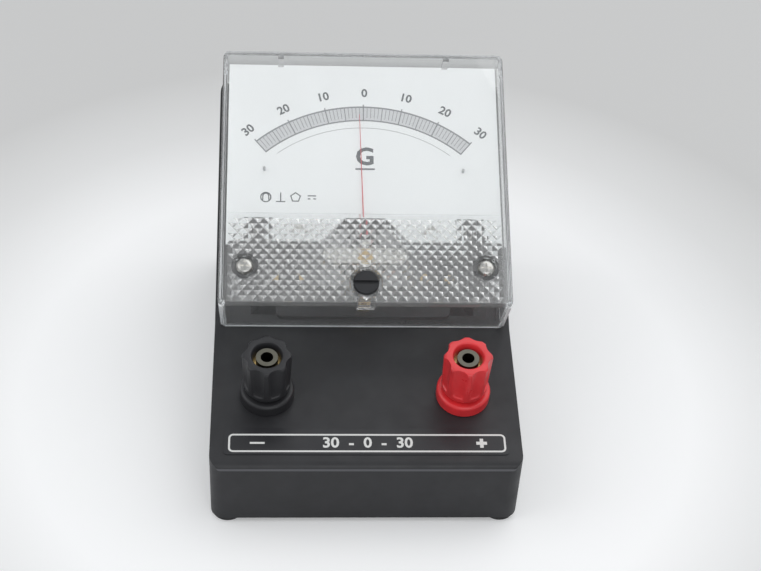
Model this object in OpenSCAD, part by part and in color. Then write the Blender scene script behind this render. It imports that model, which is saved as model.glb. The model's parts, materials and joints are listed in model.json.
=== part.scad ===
// Desk galvanometer for a teaching bench, in millimetres.
// A moulded base with a sloping terminal panel carries a clear tray cover, a dial and a pivoted
// moving-coil movement. X is to the right, Y to the back, Z up, and the feet stand on Z = 0.

/* [Base] */
// Width of the base across its side walls
base_w = 100; // [96:0.5:104]
// Depth of the base from front to back
base_d = 136; // [132:0.5:144]
// Height of the front skirt from the bottom rim to the crease
skirt_h = 24; // [20:0.5:30]
// Length of the sloping terminal panel
panel_len = 56; // [53:0.5:60]
// Slope of the terminal panel, in degrees
panel_tilt = 10; // [6:0.5:13]
// Slope of the dial face, in degrees
face_tilt = 30; // [25:0.5:34]
// Wall of the base moulding
base_wall = 2.5; // [2:0.1:3]
// Radius of the upright corners of the base
corner_r = 4.5; // [3.5:0.5:6]
// Radius of the crease between skirt and panel
crease_r = 3; // [1:0.5:5]
// Height of the locating lip around the deck opening
lip_h = 1.5; // [1:0.1:2]
// Thickness of the bottom plate
plate_t = 2; // [1.5:0.1:2.5]
// Diameter of a rubber foot
foot_d = 9; // [7:0.5:9.5]
// Height of a rubber foot
foot_h = 2; // [1.5:0.1:3]
// Distance of a foot's centre from the walls beside it
foot_inset = 5.5; // [5:0.1:8]

/* [Cover] */
// Distance from the side of the base to the side of the cover
cover_side = 1.75; // [1:0.25:3]
// Distance from the back of the base to the top edge of the cover
cover_back = 1; // [0.5:0.25:2]
// Height of the cover above the deck
cover_h = 23.5; // [23.3:0.1:26]
// Wall of the cover
cover_wall = 1.6; // [1.4:0.1:1.8]
// Radius of the cover's corners
cover_r = 2.2; // [2:0.1:3]
// Distance of the cover screws from the sides of the cover
cover_screw_side = 8.55; // [8:0.05:9.5]
// Distance of the cover screws from the lower edge of the cover
cover_screw_v = 13.6; // [12:0.2:15]
// Diameter of the cover screws
cover_screw_d = 3; // [2.6:0.1:3.2]
// Distance of the two catch ribs from the centre line
rib_x = 28.5; // [24:0.5:34]

/* [Zero adjuster] */
// Distance of the zero adjuster from the lower edge of the cover
adjuster_v = 8; // [7.6:0.1:8.4]
// Diameter of the adjuster's slotted head
adjuster_d = 8.5; // [8:0.1:9]
// Diameter of the adjuster's shank
shank_d = 3.6; // [3.4:0.1:3.8]
// Offset of the eccentric pin from the adjuster's axis
pin_offset = 1.2; // [1.1:0.1:1.3]
// Diameter of the eccentric pin
pin_d = 1; // [0.8:0.1:1.2]

/* [Dial] */
// Depth of the dial's face below the inside of the cover
dial_depth = 6.1; // [5.9:0.1:6.3]
// Thickness of the dial plate
dial_t = 0.8; // [0.5:0.1:1]
// Distance of the dial's lower edge from the lower edge of the cover
dial_low = 23.5; // [22.5:0.5:25]
// Distance of the pointer's tip from the dial's top edge
pointer_margin = 18.9; // [16.9:0.5:24.9]
// Angle of the pointer from the middle of the scale at rest, in degrees
pointer_rest = 1.5; // [0:0.5:3]
// Angle of the pointer stops from the middle of the scale, in degrees
stop_angle = 46; // [44:0.5:48]

/* [Movement] */
// Distance of the coil's axis from the lower edge of the cover
pivot_v = 18; // [17.7:0.1:18.5]
// Thickness of the movement frame
frame_t = 2.8; // [2.4:0.1:3]
// Gap between the magnet and the dial plate
magnet_gap = 1.8; // [1.4:0.1:2.4]
// Width of the magnet's limbs
limb_w = 6.2; // [5.5:0.1:6.5]
// Distance from the pole pieces' axis to the middle of the magnet's bow
bow_v = 16; // [14:0.5:20]
// Radius of the bore between the pole pieces
bore_r = 7.6; // [7.5:0.1:8]
// Radius of the soft iron core
core_r = 5.8; // [5.4:0.1:5.9]
// Wall of the coil former
former_t = 0.25; // [0.2:0.05:0.3]
// Depth of the winding on the former
winding_t = 0.65; // [0.5:0.05:0.7]
// Width of the coil's side limbs
coil_w = 2.6; // [2:0.2:3]
// Radius of the staffs that carry the coil
staff_r = 0.6; // [0.5:0.05:0.7]
// Radius of the jewel screws
jewel_r = 1.5; // [1.3:0.1:1.6]
// Thickness of the bridges
bridge_t = 1; // [0.8:0.1:1.2]
// Outer radius of a hairspring
spring_r = 5.1; // [4.5:0.1:5.2]
// Number of turns of a hairspring
spring_turns = 4; // [3:1:5]

/* [Terminals] */
// Distance of each terminal from the side of the base
post_side = 18; // [16:0.5:20]
// Distance of the terminals from the crease
post_v = 28; // [26:0.5:31]
// Diameter of the plug socket in each terminal
socket_d = 4; // [3.9:0.1:4.1]
// Depth of the plug socket
socket_depth = 12; // [11:0.5:13]
// Outer diameter of the terminal stem
stem_d = 7; // [6.4:0.1:7.2]
// Height of the stem's mouth above the panel
stem_h = 20.3; // [20:0.1:22]
// Height of the insulating collar
collar_h = 4.5; // [4:0.1:5]
// Diameter of the insulating collar
collar_d = 17.6; // [16:0.2:18]
// Diameter of the cap at its lower end
cap_d = 15; // [14.8:0.1:16]
// Diameter of the cap at its top
cap_top_d = 15.8; // [15:0.1:16.4]
// Number of flutes around the cap
flutes = 8; // [6:1:9]
// Depth of a flute
flute_depth = 0.8; // [0.5:0.1:1]
// Diameter of the cross hole that takes a bare wire
cross_hole_d = 2.4; // [2:0.1:2.6]

/* [Front strip] */
// Distance of the strip's ends from the sides of the base
strip_side = 4.5; // [4:0.5:15]
// Height of the strip
strip_h = 10; // [8:0.5:11]
// Distance of the strip from the crease
strip_v = 4.6; // [4:0.1:6]

/* [Hidden] */
$fn = 48;

eps = 0.01;
run_fit = 0.05;          // radial clearance of a shaft that turns in its hole
slip = 0.2;              // clearance between pieces that are put together by hand
part_gap = 0.35;         // clearance between curved faces that pass each other

black_plastic = [0.13, 0.13, 0.14];
red_plastic = [0.78, 0.12, 0.1];
clear_plastic = [0.85, 0.9, 0.92, 0.3];
nickel = [0.75, 0.75, 0.74];
brass = [0.78, 0.62, 0.32];
steel = [0.6, 0.61, 0.63];
copper = [0.72, 0.4, 0.24];

// Side profile of the base, as [y, z]
front_y = -base_d / 2;
back_y = base_d / 2;
rim_z = foot_h;
crease = [front_y, rim_z + skirt_h];
panel_end = crease + panel_len * [cos(panel_tilt), sin(panel_tilt)];
deck_len = (back_y - panel_end.x) / cos(face_tilt);
deck_top = panel_end + deck_len * [cos(face_tilt), sin(face_tilt)];
side_profile = [[front_y, rim_z], [back_y, rim_z], deck_top, panel_end, crease];
rear_edge_r = 1.5;

// Cover, in the face frame: x across, y up the slope from the panel's end, z out of the deck
cover_w = base_w - 2 * cover_side;
cover_len = deck_len - cover_back;
inner_w = cover_w - 2 * cover_wall;
inner_top = cover_len - cover_wall;
inner_face = cover_h - cover_wall;
cover_screw_x = cover_w / 2 - cover_screw_side;
dial_level = inner_face - dial_depth;
post_x = base_w / 2 - post_side;
strip_w = base_w - 2 * strip_side;
ledge_w = 8.65;
open_x = inner_w / 2 - ledge_w;
window_drop = 12.5;
ledge_top = 5.65;
open_v0 = pivot_v - window_drop;
open_v1 = inner_top - ledge_top;
well_r = 3.5;
well_depth = 2.2;
cover_boss_r = 4.4;
lip_t = 1.2;
rib_w = 2;
rib_h = 1.2;

// Zero adjuster
boss_r = adjuster_d / 2 + 1.35;
boss_web = 1.4;
boss_end = inner_face - 2.4;
adjuster_seat = boss_end + boss_web + run_fit;
head_clear = 0.25;
ring_r = adjuster_d / 2 + 0.85;
ring_depth = 0.5;
adjuster_front = cover_h - 0.2;
shank_end = boss_end - 0.6;
clip_t = 0.4;
pin_end = shank_end - 0.9;
pin_v = adjuster_v + pin_offset;
pin_reach = pivot_v - pin_v;
gusset_w = 6;

// Movement levels, measured from the deck along the coil's axis
pole_level = frame_t;
magnet_t = dial_level - dial_t - magnet_gap - pole_level;
pole_top = pole_level + magnet_t;
former_in = core_r + 0.4;
former_out = former_in + former_t;
winding_out = former_out + winding_t;
core_gap = 0.6;
end_gap = 0.8;
core_level = pole_level + core_gap;
core_len = magnet_t - 2 * core_gap;
coil_in0 = core_level - end_gap;
coil_in1 = core_level + core_len + end_gap;
coil_rear = coil_in0 - former_t - winding_t;
coil_front = coil_in1 + former_t + winding_t;
pointer_level = dial_level + 1;
pointer_t = 0.2;
hub_r = 2.2;
hub_t = 0.8;
tail_r = 8.6;
weight_r = 0.9;
weight_len = 1.6;
tail_weight_len = 2.7;
weight_at = spring_r + 0.6;
arm_level = shank_end - 0.7;
arm_t = 0.3;
spring_level = arm_level - 0.6;
spring_h = 0.4;
spring_t = 0.2;
collet_r = 1.2;
bridge_level = arm_level + arm_t + 0.4;
staff_top = arm_level + 0.3;
tip_len = 0.3;
front_jewel_len = 2.85;
rear_jewel_len = 4.4;
jewel_level = arm_level - 0.15;
cup_depth = 0.9;
nut_t = 0.8;
jewel_nut_af = 4.6;
rear_spring_level = coil_rear - 2.9;
rear_bridge_level = rear_spring_level - 2.4;
rear_jewel_level = rear_spring_level - 0.6;
axis_hole_r = 9.3;
pillar_r = 1.8;
screw_r = 1;
bracket_screw_r = 0.8;
bracket_screw_v = -10.5;
pole_half = 10;
pole_horn = 3.8;
pole_back = 5.4;
pole_w = bore_r + pole_back;
pillar_x = bore_r + 3.6;
magnet_r = pole_w + limb_w;
ear_w = 3.3;
tag_x = magnet_r + 6.3;
tag_v = pivot_v - 5.7;
tag_low = -1.2;
dial_post_x = magnet_r + 2.6;
dial_post_v = pivot_v + 10;
dial_post_r = 2;
dial_screw_len = 6;
frame_x = tag_x + 4;
frame_low = pivot_v - 14;
ear_v0 = pivot_v + 5;
ear_v1 = pivot_v + 16;
ear_x = inner_w / 2 - lip_t - 0.9;
rest_x = inner_w / 2 - lip_t - 2.6 - slip;
rest_v = inner_top - 8;
rest_r = 2.4;
cover_screw_bite = 10;
frame_screw_bite = 5;
dial_gap = 0.35;
dial_w = inner_w - 2 * dial_gap;
dial_top = inner_top - dial_gap;
hump_w0 = 14;
hump_w1 = 7;
hump_h = 8.5;
pointer_len = dial_top - pivot_v - pointer_margin;
notch_x0 = cover_screw_x - 7.6;
notch_x1 = cover_screw_x - 0.4;
stop_r = 0.45;
stop_tip = 6.5;
stop_edge = 5;
stop_reach = min(pointer_len - stop_tip, (dial_w / 2 - stop_edge) / sin(stop_angle));

// Terminal levels, measured from the panel's face
stem_flange = 0.8;
washer_level = collar_h + stem_flange + 0.05;
washer_t = 1;
cap_level = washer_level + 0.25;
cap_foot = 2.2;
cap_top = stem_h + 1.2;
pocket_top = washer_level + washer_t + 0.15;
insert_level = pocket_top + 1;
insert_top = stem_h - 3.3;
insert_r = stem_d / 2 + 1.3;
flute_r = 4;
cap_chamfer = 1;
pocket_r = insert_r + 1.25;
washer_r = insert_r + 0.9;
mouth_r = stem_d / 2 + 1.1;
cross_level = washer_level + cross_hole_d / 2 + 0.1;
shank_r = 2.5;
spigot_r = 4;
bush_t = 2;
bush_r = 7;
under_washer_r = 5.5;
nut_af = 8;
terminal_nut_t = 3;
lug_t = 0.6;
lug_len = 10;
bush_level = -base_wall - bush_t;
under_washer_t = 0.8;
nut1_level = bush_level - under_washer_t - terminal_nut_t;
lug_level = nut1_level - lug_t;
nut2_level = lug_level - terminal_nut_t;
shank_low = nut2_level - 1.5;

// Screws through the bottom plate
boss_front = 17;
boss_rear = 15;
boss_side = 12;
boss_y = [front_y + boss_front, back_y - boss_rear];
boss_x = base_w / 2 - boss_side;
bottom_boss_r = 3.6;
bottom_hole_len = 12;
bottom_screw_len = 9;
bottom_screw_r = 1.4;
foot_pad_r = foot_d / 2 + 2;
foot_pad_h = 5;

lead_r = 0.6;

// Rounding of a polygon's corners by arcs, one radius per corner
function unit(v) = v / norm(v);
function left_of(v) = [-v.y, v.x];
function at(list, i) = list[(i + len(list)) % len(list)];
function short_turn(a) = a > 180 ? a - 360 : a < -180 ? a + 360 : a;
function corner_arc(a, b, c, r, n) =
    let (u = unit(a - b), w = unit(c - b), half = acos(u * w) / 2,
         centre = b + unit(u + w) * r / sin(half),
         s = b + u * r / tan(half) - centre, e = b + w * r / tan(half) - centre,
         a0 = atan2(s.y, s.x), turn = short_turn(atan2(e.y, e.x) - a0))
    [for (i = [0 : n]) centre + r * [cos(a0 + turn * i / n), sin(a0 + turn * i / n)]];
function rounded(pts, radii, n = 6) = [
    for (i = [0 : len(pts) - 1])
        each (radii[i] == 0 ? [pts[i]]
            : corner_arc(at(pts, i - 1), pts[i], at(pts, i + 1), radii[i], n))];
// Corner of a counter-clockwise polygon moved inwards by d
function inset_corner(pts, i, d) =
    let (n1 = left_of(unit(pts[i] - at(pts, i - 1))), n2 = left_of(unit(at(pts, i + 1) - pts[i])))
    pts[i] + d * (n1 + n2) / (1 + n1 * n2);
function mirrored(half_pts) = concat(half_pts,
    [for (i = [len(half_pts) - 1 : -1 : 0]) [-half_pts[i].x, half_pts[i].y]]);
// Points given in the frames of the panel and of the face, as [x, y, z] of the whole part
function tilted(origin, tilt, x, v, w) =
    [x, origin.x + v * cos(tilt) - w * sin(tilt), origin.y + v * sin(tilt) + w * cos(tilt)];
function panel_point(x, v, w) = tilted(crease, panel_tilt, x, v, w);
function face_point(x, v, w) = tilted(panel_end, face_tilt, x, v, w);

// Frames of reference
module on_panel() translate([0, crease.x, crease.y]) rotate([panel_tilt, 0, 0]) children();
module on_face() translate([0, panel_end.x, panel_end.y]) rotate([face_tilt, 0, 0]) children();
module on_pivot() on_face() translate([0, pivot_v, 0]) children();
module on_post(side) on_panel() translate([side * post_x, post_v, 0]) children();
module both_sides(x) for (s = [-1, 1]) translate([s * x, 0, 0]) children();

// Building blocks
module side_prism(pts, w) rotate([90, 0, 90]) linear_extrude(w, center = true) polygon(pts);
module rod(r, z0, z1) translate([0, 0, z0]) cylinder(r = r, h = z1 - z0);
module ring(r_out, r_in, z0, z1) difference() {
    rod(r_out, z0, z1);
    rod(r_in, z0 - 1, z1 + 1);
}
module block(x0, x1, y0, y1, z0, z1) translate([x0, y0, z0]) cube([x1 - x0, y1 - y0, z1 - z0]);
module slab(pts, z0, z1) translate([0, 0, z0]) linear_extrude(z1 - z0) polygon(pts);
// Rectangle with round corners, standing from z0 to z1
module tray(x0, x1, y0, y1, r, z0, z1)
    slab(rounded([[x0, y0], [x1, y0], [x1, y1], [x0, y1]], [r, r, r, r]), z0, z1);
module hex_nut(af, hole_r, z0, z1) difference() {
    translate([0, 0, z0]) cylinder(r = af / 2 / cos(30), h = z1 - z0, $fn = 6);
    rod(hole_r, z0 - 1, z1 + 1);
}
// Pan head screw that points down, with its head's underside at z = 0 and a cross slot
module pan_screw(head_r, head_h, r, length) difference() {
    rotate_extrude() polygon([[0, -length], [r, -length], [r, 0], [head_r, 0],
        [head_r, head_h * 0.45], [head_r * 0.8, head_h * 0.85], [head_r * 0.45, head_h],
        [0, head_h]]);
    for (a = [0, 90]) rotate(a)
        block(-head_r * 0.62, head_r * 0.62, -head_r * 0.12, head_r * 0.12,
            head_h * 0.45, head_h + 1);
}

// Base

module base_shape() intersection() {
    side_prism(rounded(side_profile, [0, 0, rear_edge_r, 0, crease_r]), base_w);
    tray(-base_w / 2, base_w / 2, front_y, back_y, corner_r, rim_z - 1, deck_top.y + 1);
}
module base_cavity() {
    inner = [for (i = [2 : 4]) inset_corner(side_profile, i, base_wall)];
    intersection() {
        side_prism(concat([[front_y + base_wall, rim_z - 1], [back_y - base_wall, rim_z - 1]],
            inner), base_w - 2 * base_wall);
        tray(-base_w / 2 + base_wall, base_w / 2 - base_wall, front_y + base_wall,
            back_y - base_wall, corner_r - base_wall, rim_z - 2, deck_top.y);
    }
}
module at_feet() for (sx = [-1, 1], y = [front_y + foot_inset, back_y - foot_inset])
    translate([sx * (base_w / 2 - foot_inset), y, 0]) children();
module at_bottom_screws() for (sx = [-1, 1], y = boss_y) translate([sx * boss_x, y, 0]) children();
module at_cover_screws() on_face() translate([0, cover_screw_v, 0]) both_sides(cover_screw_x) children();
module at_frame_screws() on_face() translate([0, (ear_v0 + ear_v1) / 2, 0])
    both_sides(ear_x - ear_w) children();
module base_bosses() intersection() {
    base_shape();
    union() {
        at_feet() rod(foot_pad_r, rim_z, rim_z + foot_pad_h);
        at_bottom_screws() rod(bottom_boss_r, rim_z + plate_t, deck_top.y);
        at_cover_screws() rod(cover_screw_d / 2 + 2.4, -cover_screw_bite - 3, 0);
        at_frame_screws() rod(screw_r + 2, -frame_screw_bite - 3, 0);
    }
}
module base_housing() color(black_plastic) difference() {
    union() {
        difference() {
            base_shape();
            base_cavity();
            on_face() block(-open_x, open_x, open_v0, open_v1, -base_wall - 3, 1);
        }
        base_bosses();
        on_face() difference() {
            tray(-inner_w / 2 + slip, inner_w / 2 - slip, cover_wall + slip, inner_top - slip, 1,
                -1, lip_h);
            tray(-inner_w / 2 + slip + lip_t, inner_w / 2 - slip - lip_t,
                cover_wall + slip + lip_t, inner_top - slip - lip_t, 0.6, -2, lip_h + 1);
        }
        on_face() translate([0, rest_v, 0]) both_sides(rest_x)
            rod(rest_r, -1, dial_level - dial_t);
    }
    at_cover_screws() {
        rod(cover_boss_r + slip, 0, lip_h + 1);
        rod(cover_screw_d / 2, -cover_screw_bite - 1, 1);
    }
    at_frame_screws() rod(screw_r, -frame_screw_bite - 1, 1);
    at_bottom_screws() rod(bottom_screw_r, rim_z, rim_z + plate_t + bottom_hole_len);
    for (s = [-1, 1]) on_post(s) rod(spigot_r + slip / 2, -base_wall - 1, 1);
}
module bottom_plate() color(black_plastic) difference() {
    tray(-base_w / 2 + base_wall + slip, base_w / 2 - base_wall - slip,
        front_y + base_wall + slip, back_y - base_wall - slip, corner_r - base_wall,
        rim_z, rim_z + plate_t);
    at_feet() rod(foot_pad_r + slip, rim_z - 1, rim_z + plate_t + 1);
    at_bottom_screws() rod(bottom_screw_r + slip, rim_z - 1, rim_z + plate_t + 1);
    at_bottom_screws() translate([0, 0, rim_z]) cylinder(r1 = 2.9, r2 = bottom_screw_r + slip, h = 1.4);
}
module bottom_screws() color(steel) at_bottom_screws() difference() {
    union() {
        translate([0, 0, rim_z]) cylinder(r1 = 2.8, r2 = bottom_screw_r, h = 1.4);
        rod(bottom_screw_r, rim_z + 1, rim_z + plate_t + bottom_screw_len);
    }
    for (a = [0, 90]) rotate(a) block(-1.7, 1.7, -0.3, 0.3, rim_z - 1, rim_z + 0.7);
}
module rubber_feet() color([0.1, 0.1, 0.1]) at_feet() rotate_extrude()
    polygon([[0, 0], [foot_d / 2 - 0.5, 0], [foot_d / 2 - 0.1, 0.4], [foot_d / 2, foot_h],
        [0, foot_h]]);
module front_strip() color(black_plastic) on_panel()
    tray(-strip_w / 2, strip_w / 2, strip_v, strip_v + strip_h, 1.2, 0, 0.25);

// Cover and zero adjuster

module front_cover() color(clear_plastic) on_face() difference() {
    union() {
        difference() {
            tray(-cover_w / 2, cover_w / 2, 0, cover_len, cover_r, 0, cover_h);
            tray(-inner_w / 2, inner_w / 2, cover_wall, inner_top, cover_r - cover_wall + 0.2,
                -1, inner_face);
        }
        translate([0, cover_screw_v, 0]) both_sides(cover_screw_x) rod(cover_boss_r, 0, inner_face + eps);
        translate([0, adjuster_v, 0]) rod(boss_r, boss_end, inner_face + eps);
        block(-gusset_w / 2, gusset_w / 2, cover_wall - eps, adjuster_v - 3.8, boss_end - 2.4,
            inner_face + eps);
        both_sides(rib_x) block(-rib_w / 2, rib_w / 2, inner_top - rib_h, inner_top + eps,
            dial_level + 0.1, inner_face + eps);
    }
    translate([0, cover_screw_v, 0]) both_sides(cover_screw_x) {
        rod(cover_screw_d / 2 + slip, -1, cover_h);
        rod(well_r, cover_h - well_depth, cover_h + 1);
    }
    translate([0, adjuster_v, 0]) {
        rod(shank_d / 2 + run_fit, boss_end - 3, cover_h);
        rod(adjuster_d / 2 + head_clear, boss_end + boss_web, cover_h + 1);
        rod(ring_r, cover_h - ring_depth, cover_h + 1);
        rod(shank_d / 2 + 1.4, boss_end - 4, boss_end);
    }
}
module cover_screws() color(nickel) on_face() translate([0, cover_screw_v, cover_h - well_depth])
    both_sides(cover_screw_x)
        pan_screw(2.75, 1.6, cover_screw_d / 2, cover_h - well_depth + cover_screw_bite);
module zero_adjuster() color(black_plastic) on_face() translate([0, adjuster_v, 0]) difference() {
    union() {
        rotate_extrude() polygon([[0, adjuster_seat], [adjuster_d / 2, adjuster_seat],
            [adjuster_d / 2, adjuster_front - 0.4], [adjuster_d / 2 - 0.4, adjuster_front],
            [0, adjuster_front]]);
        rod(shank_d / 2, shank_end, adjuster_seat + eps);
        translate([0, pin_offset, 0]) rod(pin_d / 2, pin_end, shank_end + eps);
    }
    block(-adjuster_d / 2 - 1, adjuster_d / 2 + 1, -0.6, 0.6, adjuster_front - 1.1, adjuster_front + 1);
}
module adjuster_clip() color(steel) on_face() translate([0, adjuster_v, 0])
    ring(shank_d / 2 + 1, shank_d / 2, boss_end - run_fit - clip_t, boss_end - run_fit);
module zero_arm() color(brass) on_pivot() {
    slot = pin_d / 2 + 0.25;
    difference() {
        union() {
            rod(2.9, arm_level, arm_level + arm_t);
            block(-1, 1, -pin_reach + 1.5, -2.5, arm_level, arm_level + arm_t);
            block(-slot - 0.9, slot + 0.9, -pin_reach - 1.7, -pin_reach + 2.3, arm_level, arm_level + arm_t);
            block(-0.8, 0.8, 2.5, spring_r + 1, arm_level, arm_level + arm_t);
            block(-0.8, 0.8, spring_r + 0.3, spring_r + 1, spring_level, arm_level + arm_t);
        }
        rod(jewel_r + run_fit, arm_level - 1, arm_level + arm_t + 1);
        block(-slot, slot, -pin_reach - 3, -pin_reach + 1, arm_level - 1, arm_level + arm_t + 1);
    }
}
module arm_washer() color(brass) on_pivot()
    ring(2.7, jewel_r, arm_level + arm_t + run_fit, bridge_level);

// Dial, pointer and stops

module dial_plate() color([0.95, 0.96, 0.97]) on_face() difference() {
    outline = mirrored([[hump_w1, dial_low + hump_h], [hump_w0, dial_low], [notch_x0, dial_low],
        [notch_x0, dial_low + hump_h], [notch_x1, dial_low + hump_h], [notch_x1, dial_low],
        [dial_w / 2, dial_low], [dial_w / 2, dial_top]]);
    slab(outline, dial_level - dial_t, dial_level);
    translate([0, dial_post_v, 0]) both_sides(dial_post_x) rod(screw_r + 0.1, 0, dial_level + 1);
    at_stops() rod(stop_r, dial_level - dial_t - 1, dial_level + 1);
}
module at_stops() translate([0, pivot_v, 0]) for (s = [-1, 1])
    rotate(90 + s * stop_angle) translate([stop_reach, 0, 0]) children();
module dial_screws() color(nickel) on_face() translate([0, dial_post_v, dial_level])
    both_sides(dial_post_x) pan_screw(1.7, 0.9, screw_r, dial_screw_len);
module pointer_stops() color(steel) on_face() at_stops()
    rod(stop_r, dial_level - dial_t - 0.6, pointer_level + 0.9);
module pointer() color([0.85, 0.1, 0.1]) on_pivot() rotate(90 + pointer_rest) {
    difference() {
        union() {
            rod(hub_r, pointer_level - hub_t / 2, pointer_level + hub_t / 2);
            slab([[1, -0.45], [20, -0.3], [pointer_len, -0.15], [pointer_len, 0.15], [20, 0.3],
                [1, 0.45]], pointer_level - pointer_t / 2, pointer_level + pointer_t / 2);
            for (a = [90, 180, 270]) on_balance_arm(a) rod(0.3, 1.5, tail_r);
        }
        rod(staff_r, pointer_level - 2, pointer_level + 2);
    }
}
module on_balance_arm(a) rotate(a) translate([0, 0, pointer_level]) rotate([0, 90, 0]) children();
module balance_weights() color(brass) on_pivot() rotate(90 + pointer_rest)
    for (a = [90, 180, 270]) on_balance_arm(a)
        ring(weight_r, 0.3, weight_at, weight_at + (a == 180 ? tail_weight_len : weight_len));

// Moving coil

// Rectangular frame around the core, from inner half width a to outer half width b
module coil_loop(a, b, in0, in1, wide, grow) difference() {
    block(-b, b, -wide / 2, wide / 2, in0 - grow, in1 + grow);
    block(-a, a, -wide, wide, in0, in1);
}
module coil_former() color([0.8, 0.8, 0.82]) on_pivot()
    coil_loop(former_in, former_out, coil_in0, coil_in1, coil_w, former_t);
module coil_winding() color(copper) on_pivot()
    coil_loop(former_out, winding_out, coil_in0 - former_t, coil_in1 + former_t, coil_w - 0.3,
        winding_t);
// Staff with a foot on the coil, a collet for the hairspring and a pointed end
module staff(z_foot, z_collet, z_end) {
    up = z_end > z_foot ? 1 : -1;
    translate([0, 0, z_foot]) mirror([0, 0, up > 0 ? 0 : 1]) rotate_extrude()
        polygon([[0, 0], [1.3, 0], [1.3, 0.3], [staff_r, 0.3],
            [staff_r, abs(z_collet - z_foot)], [collet_r, abs(z_collet - z_foot)],
            [collet_r, abs(z_collet - z_foot) + spring_h],
            [staff_r, abs(z_collet - z_foot) + spring_h],
            [staff_r, abs(z_end - z_foot) - tip_len], [0.08, abs(z_end - z_foot)],
            [0, abs(z_end - z_foot)]]);
}
module front_staff() color(steel) on_pivot() staff(coil_front, spring_level, staff_top + tip_len);
module rear_staff() color(steel) on_pivot()
    staff(coil_rear, rear_spring_level + spring_h, rear_spring_level - 1.2);
module hairspring(z, phase) {
    inner = collet_r + 0.02;
    steps = spring_turns * 18;
    mid = [for (i = [0 : steps]) inner + spring_t / 2 + (spring_r - inner - spring_t / 2) * i / steps];
    slab(concat([for (i = [0 : steps]) (mid[i] + spring_t / 2) * [cos(i * 20 + phase), sin(i * 20 + phase)]],
        [for (i = [steps : -1 : 0]) (mid[i] - spring_t / 2) * [cos(i * 20 + phase), sin(i * 20 + phase)]]),
        z, z + spring_h);
}
module front_hairspring() color(brass) on_pivot() hairspring(spring_level, 90);
module rear_hairspring() color(brass) on_pivot() hairspring(rear_spring_level, 240);

// Magnet, frame and bridges

module magnet() color([0.35, 0.36, 0.38]) on_pivot() {
    ri = magnet_r - limb_w;
    slab(concat([for (a = [0 : 10 : 180]) [0, bow_v] + magnet_r * [cos(a), sin(a)]],
        [[-magnet_r, -pole_half], [-ri, -pole_half]],
        [for (a = [180 : -10 : 0]) [0, bow_v] + ri * [cos(a), sin(a)]],
        [[ri, -pole_half], [magnet_r, -pole_half]]), pole_level, pole_top);
}
module pole_pieces() color(steel) on_pivot() for (s = [0, 1]) mirror([s, 0, 0]) difference() {
    block(pole_horn, pole_w, -pole_half, pole_half, pole_level, pole_top);
    rod(bore_r, pole_level - 1, pole_top + 1);
    translate([pillar_x, 0, 0]) rod(screw_r, pole_level - 1, pole_top + 1);
}
module iron_core() color(steel) on_pivot() rod(core_r, core_level, core_level + core_len);
module core_bracket() color(brass) on_pivot() difference() {
    bracket_low = pole_level + magnet_t * 0.34;
    bracket_top = pole_level + magnet_t * 0.71;
    union() {
        block(-2, 2, -12, -9, frame_t, bracket_top);
        block(-2, 2, -9 - eps, -core_r + 1, bracket_low, bracket_top);
    }
    rod(core_r, 0, pole_top);
    translate([0, bracket_screw_v, 0]) rod(bracket_screw_r, frame_t - 1, frame_t + 5);
}
module movement_frame() color([0.62, 0.63, 0.65]) difference() {
    frame_body();
    at_frame_screws() rod(screw_r + 0.1, -1, frame_t + 1);
}
module frame_body() on_face() difference() {
    union() {
        slab(rounded(mirrored([[frame_x, frame_low], [frame_x, ear_v0], [ear_x, ear_v0],
            [ear_x, ear_v1], [magnet_r + 1, ear_v1], [magnet_r + 1, pivot_v + bow_v + magnet_r + 1]]),
            [2, 1, 2, 2, 1, 6, 6, 1, 2, 2, 1, 2]), 0, frame_t);
        translate([0, dial_post_v, 0]) both_sides(dial_post_x)
            rod(dial_post_r, frame_t - eps, dial_level - dial_t);
    }
    translate([0, pivot_v, 0]) {
        rod(axis_hole_r, -1, frame_t + 1);
        both_sides(pillar_x) rod(screw_r, -1, frame_t + 1);
        translate([0, bracket_screw_v, 0]) rod(bracket_screw_r, -1, frame_t + 1);
    }
    translate([0, dial_post_v, 0]) both_sides(dial_post_x)
        rod(screw_r, dial_level - dial_screw_len - 1, dial_level);
    translate([0, tag_v, 0]) both_sides(tag_x) rod(0.8, -1, frame_t + 1);
    tray(1 - pole_w, pole_w - 1, pivot_v + pole_half + 4, pivot_v + bow_v + 8, 3, -1,
        frame_t + 1);
}
module frame_screws() color(nickel) {
    at_frame_screws() translate([0, 0, frame_t]) pan_screw(1.9, 1.1, screw_r, frame_t + frame_screw_bite);
    on_pivot() translate([0, bracket_screw_v, 0]) mirror([0, 0, 1]) pan_screw(1.6, 1, bracket_screw_r, 6);
}
// Bridge bar across the two pillars with a threaded hole for the jewel screw
module bridge_bar(z) difference() {
    tray(-pillar_x - 2.4, pillar_x + 2.4, -2.6, 2.6, 2, z, z + bridge_t);
    rod(jewel_r, z - 1, z + bridge_t + 1);
    both_sides(pillar_x) rod(screw_r, z - 1, z + bridge_t + 1);
}
module front_bridge() color(brass) on_pivot() bridge_bar(bridge_level);
module rear_bridge() color(brass) on_pivot() {
    bridge_bar(rear_bridge_level - bridge_t);
    rotate(240) translate([spring_r + 0.55, 0, 0]) {
        rod(0.4, rear_bridge_level - eps, rear_spring_level + spring_h);
        block(-2.6, 0.6, -0.8, 0.8, rear_bridge_level - bridge_t, rear_bridge_level);
    }
}
module bridge_pillars() color(brass) on_pivot() both_sides(pillar_x) {
    ring(pillar_r, screw_r, pole_top, bridge_level);
    ring(pillar_r, screw_r, rear_bridge_level, 0);
}
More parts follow.
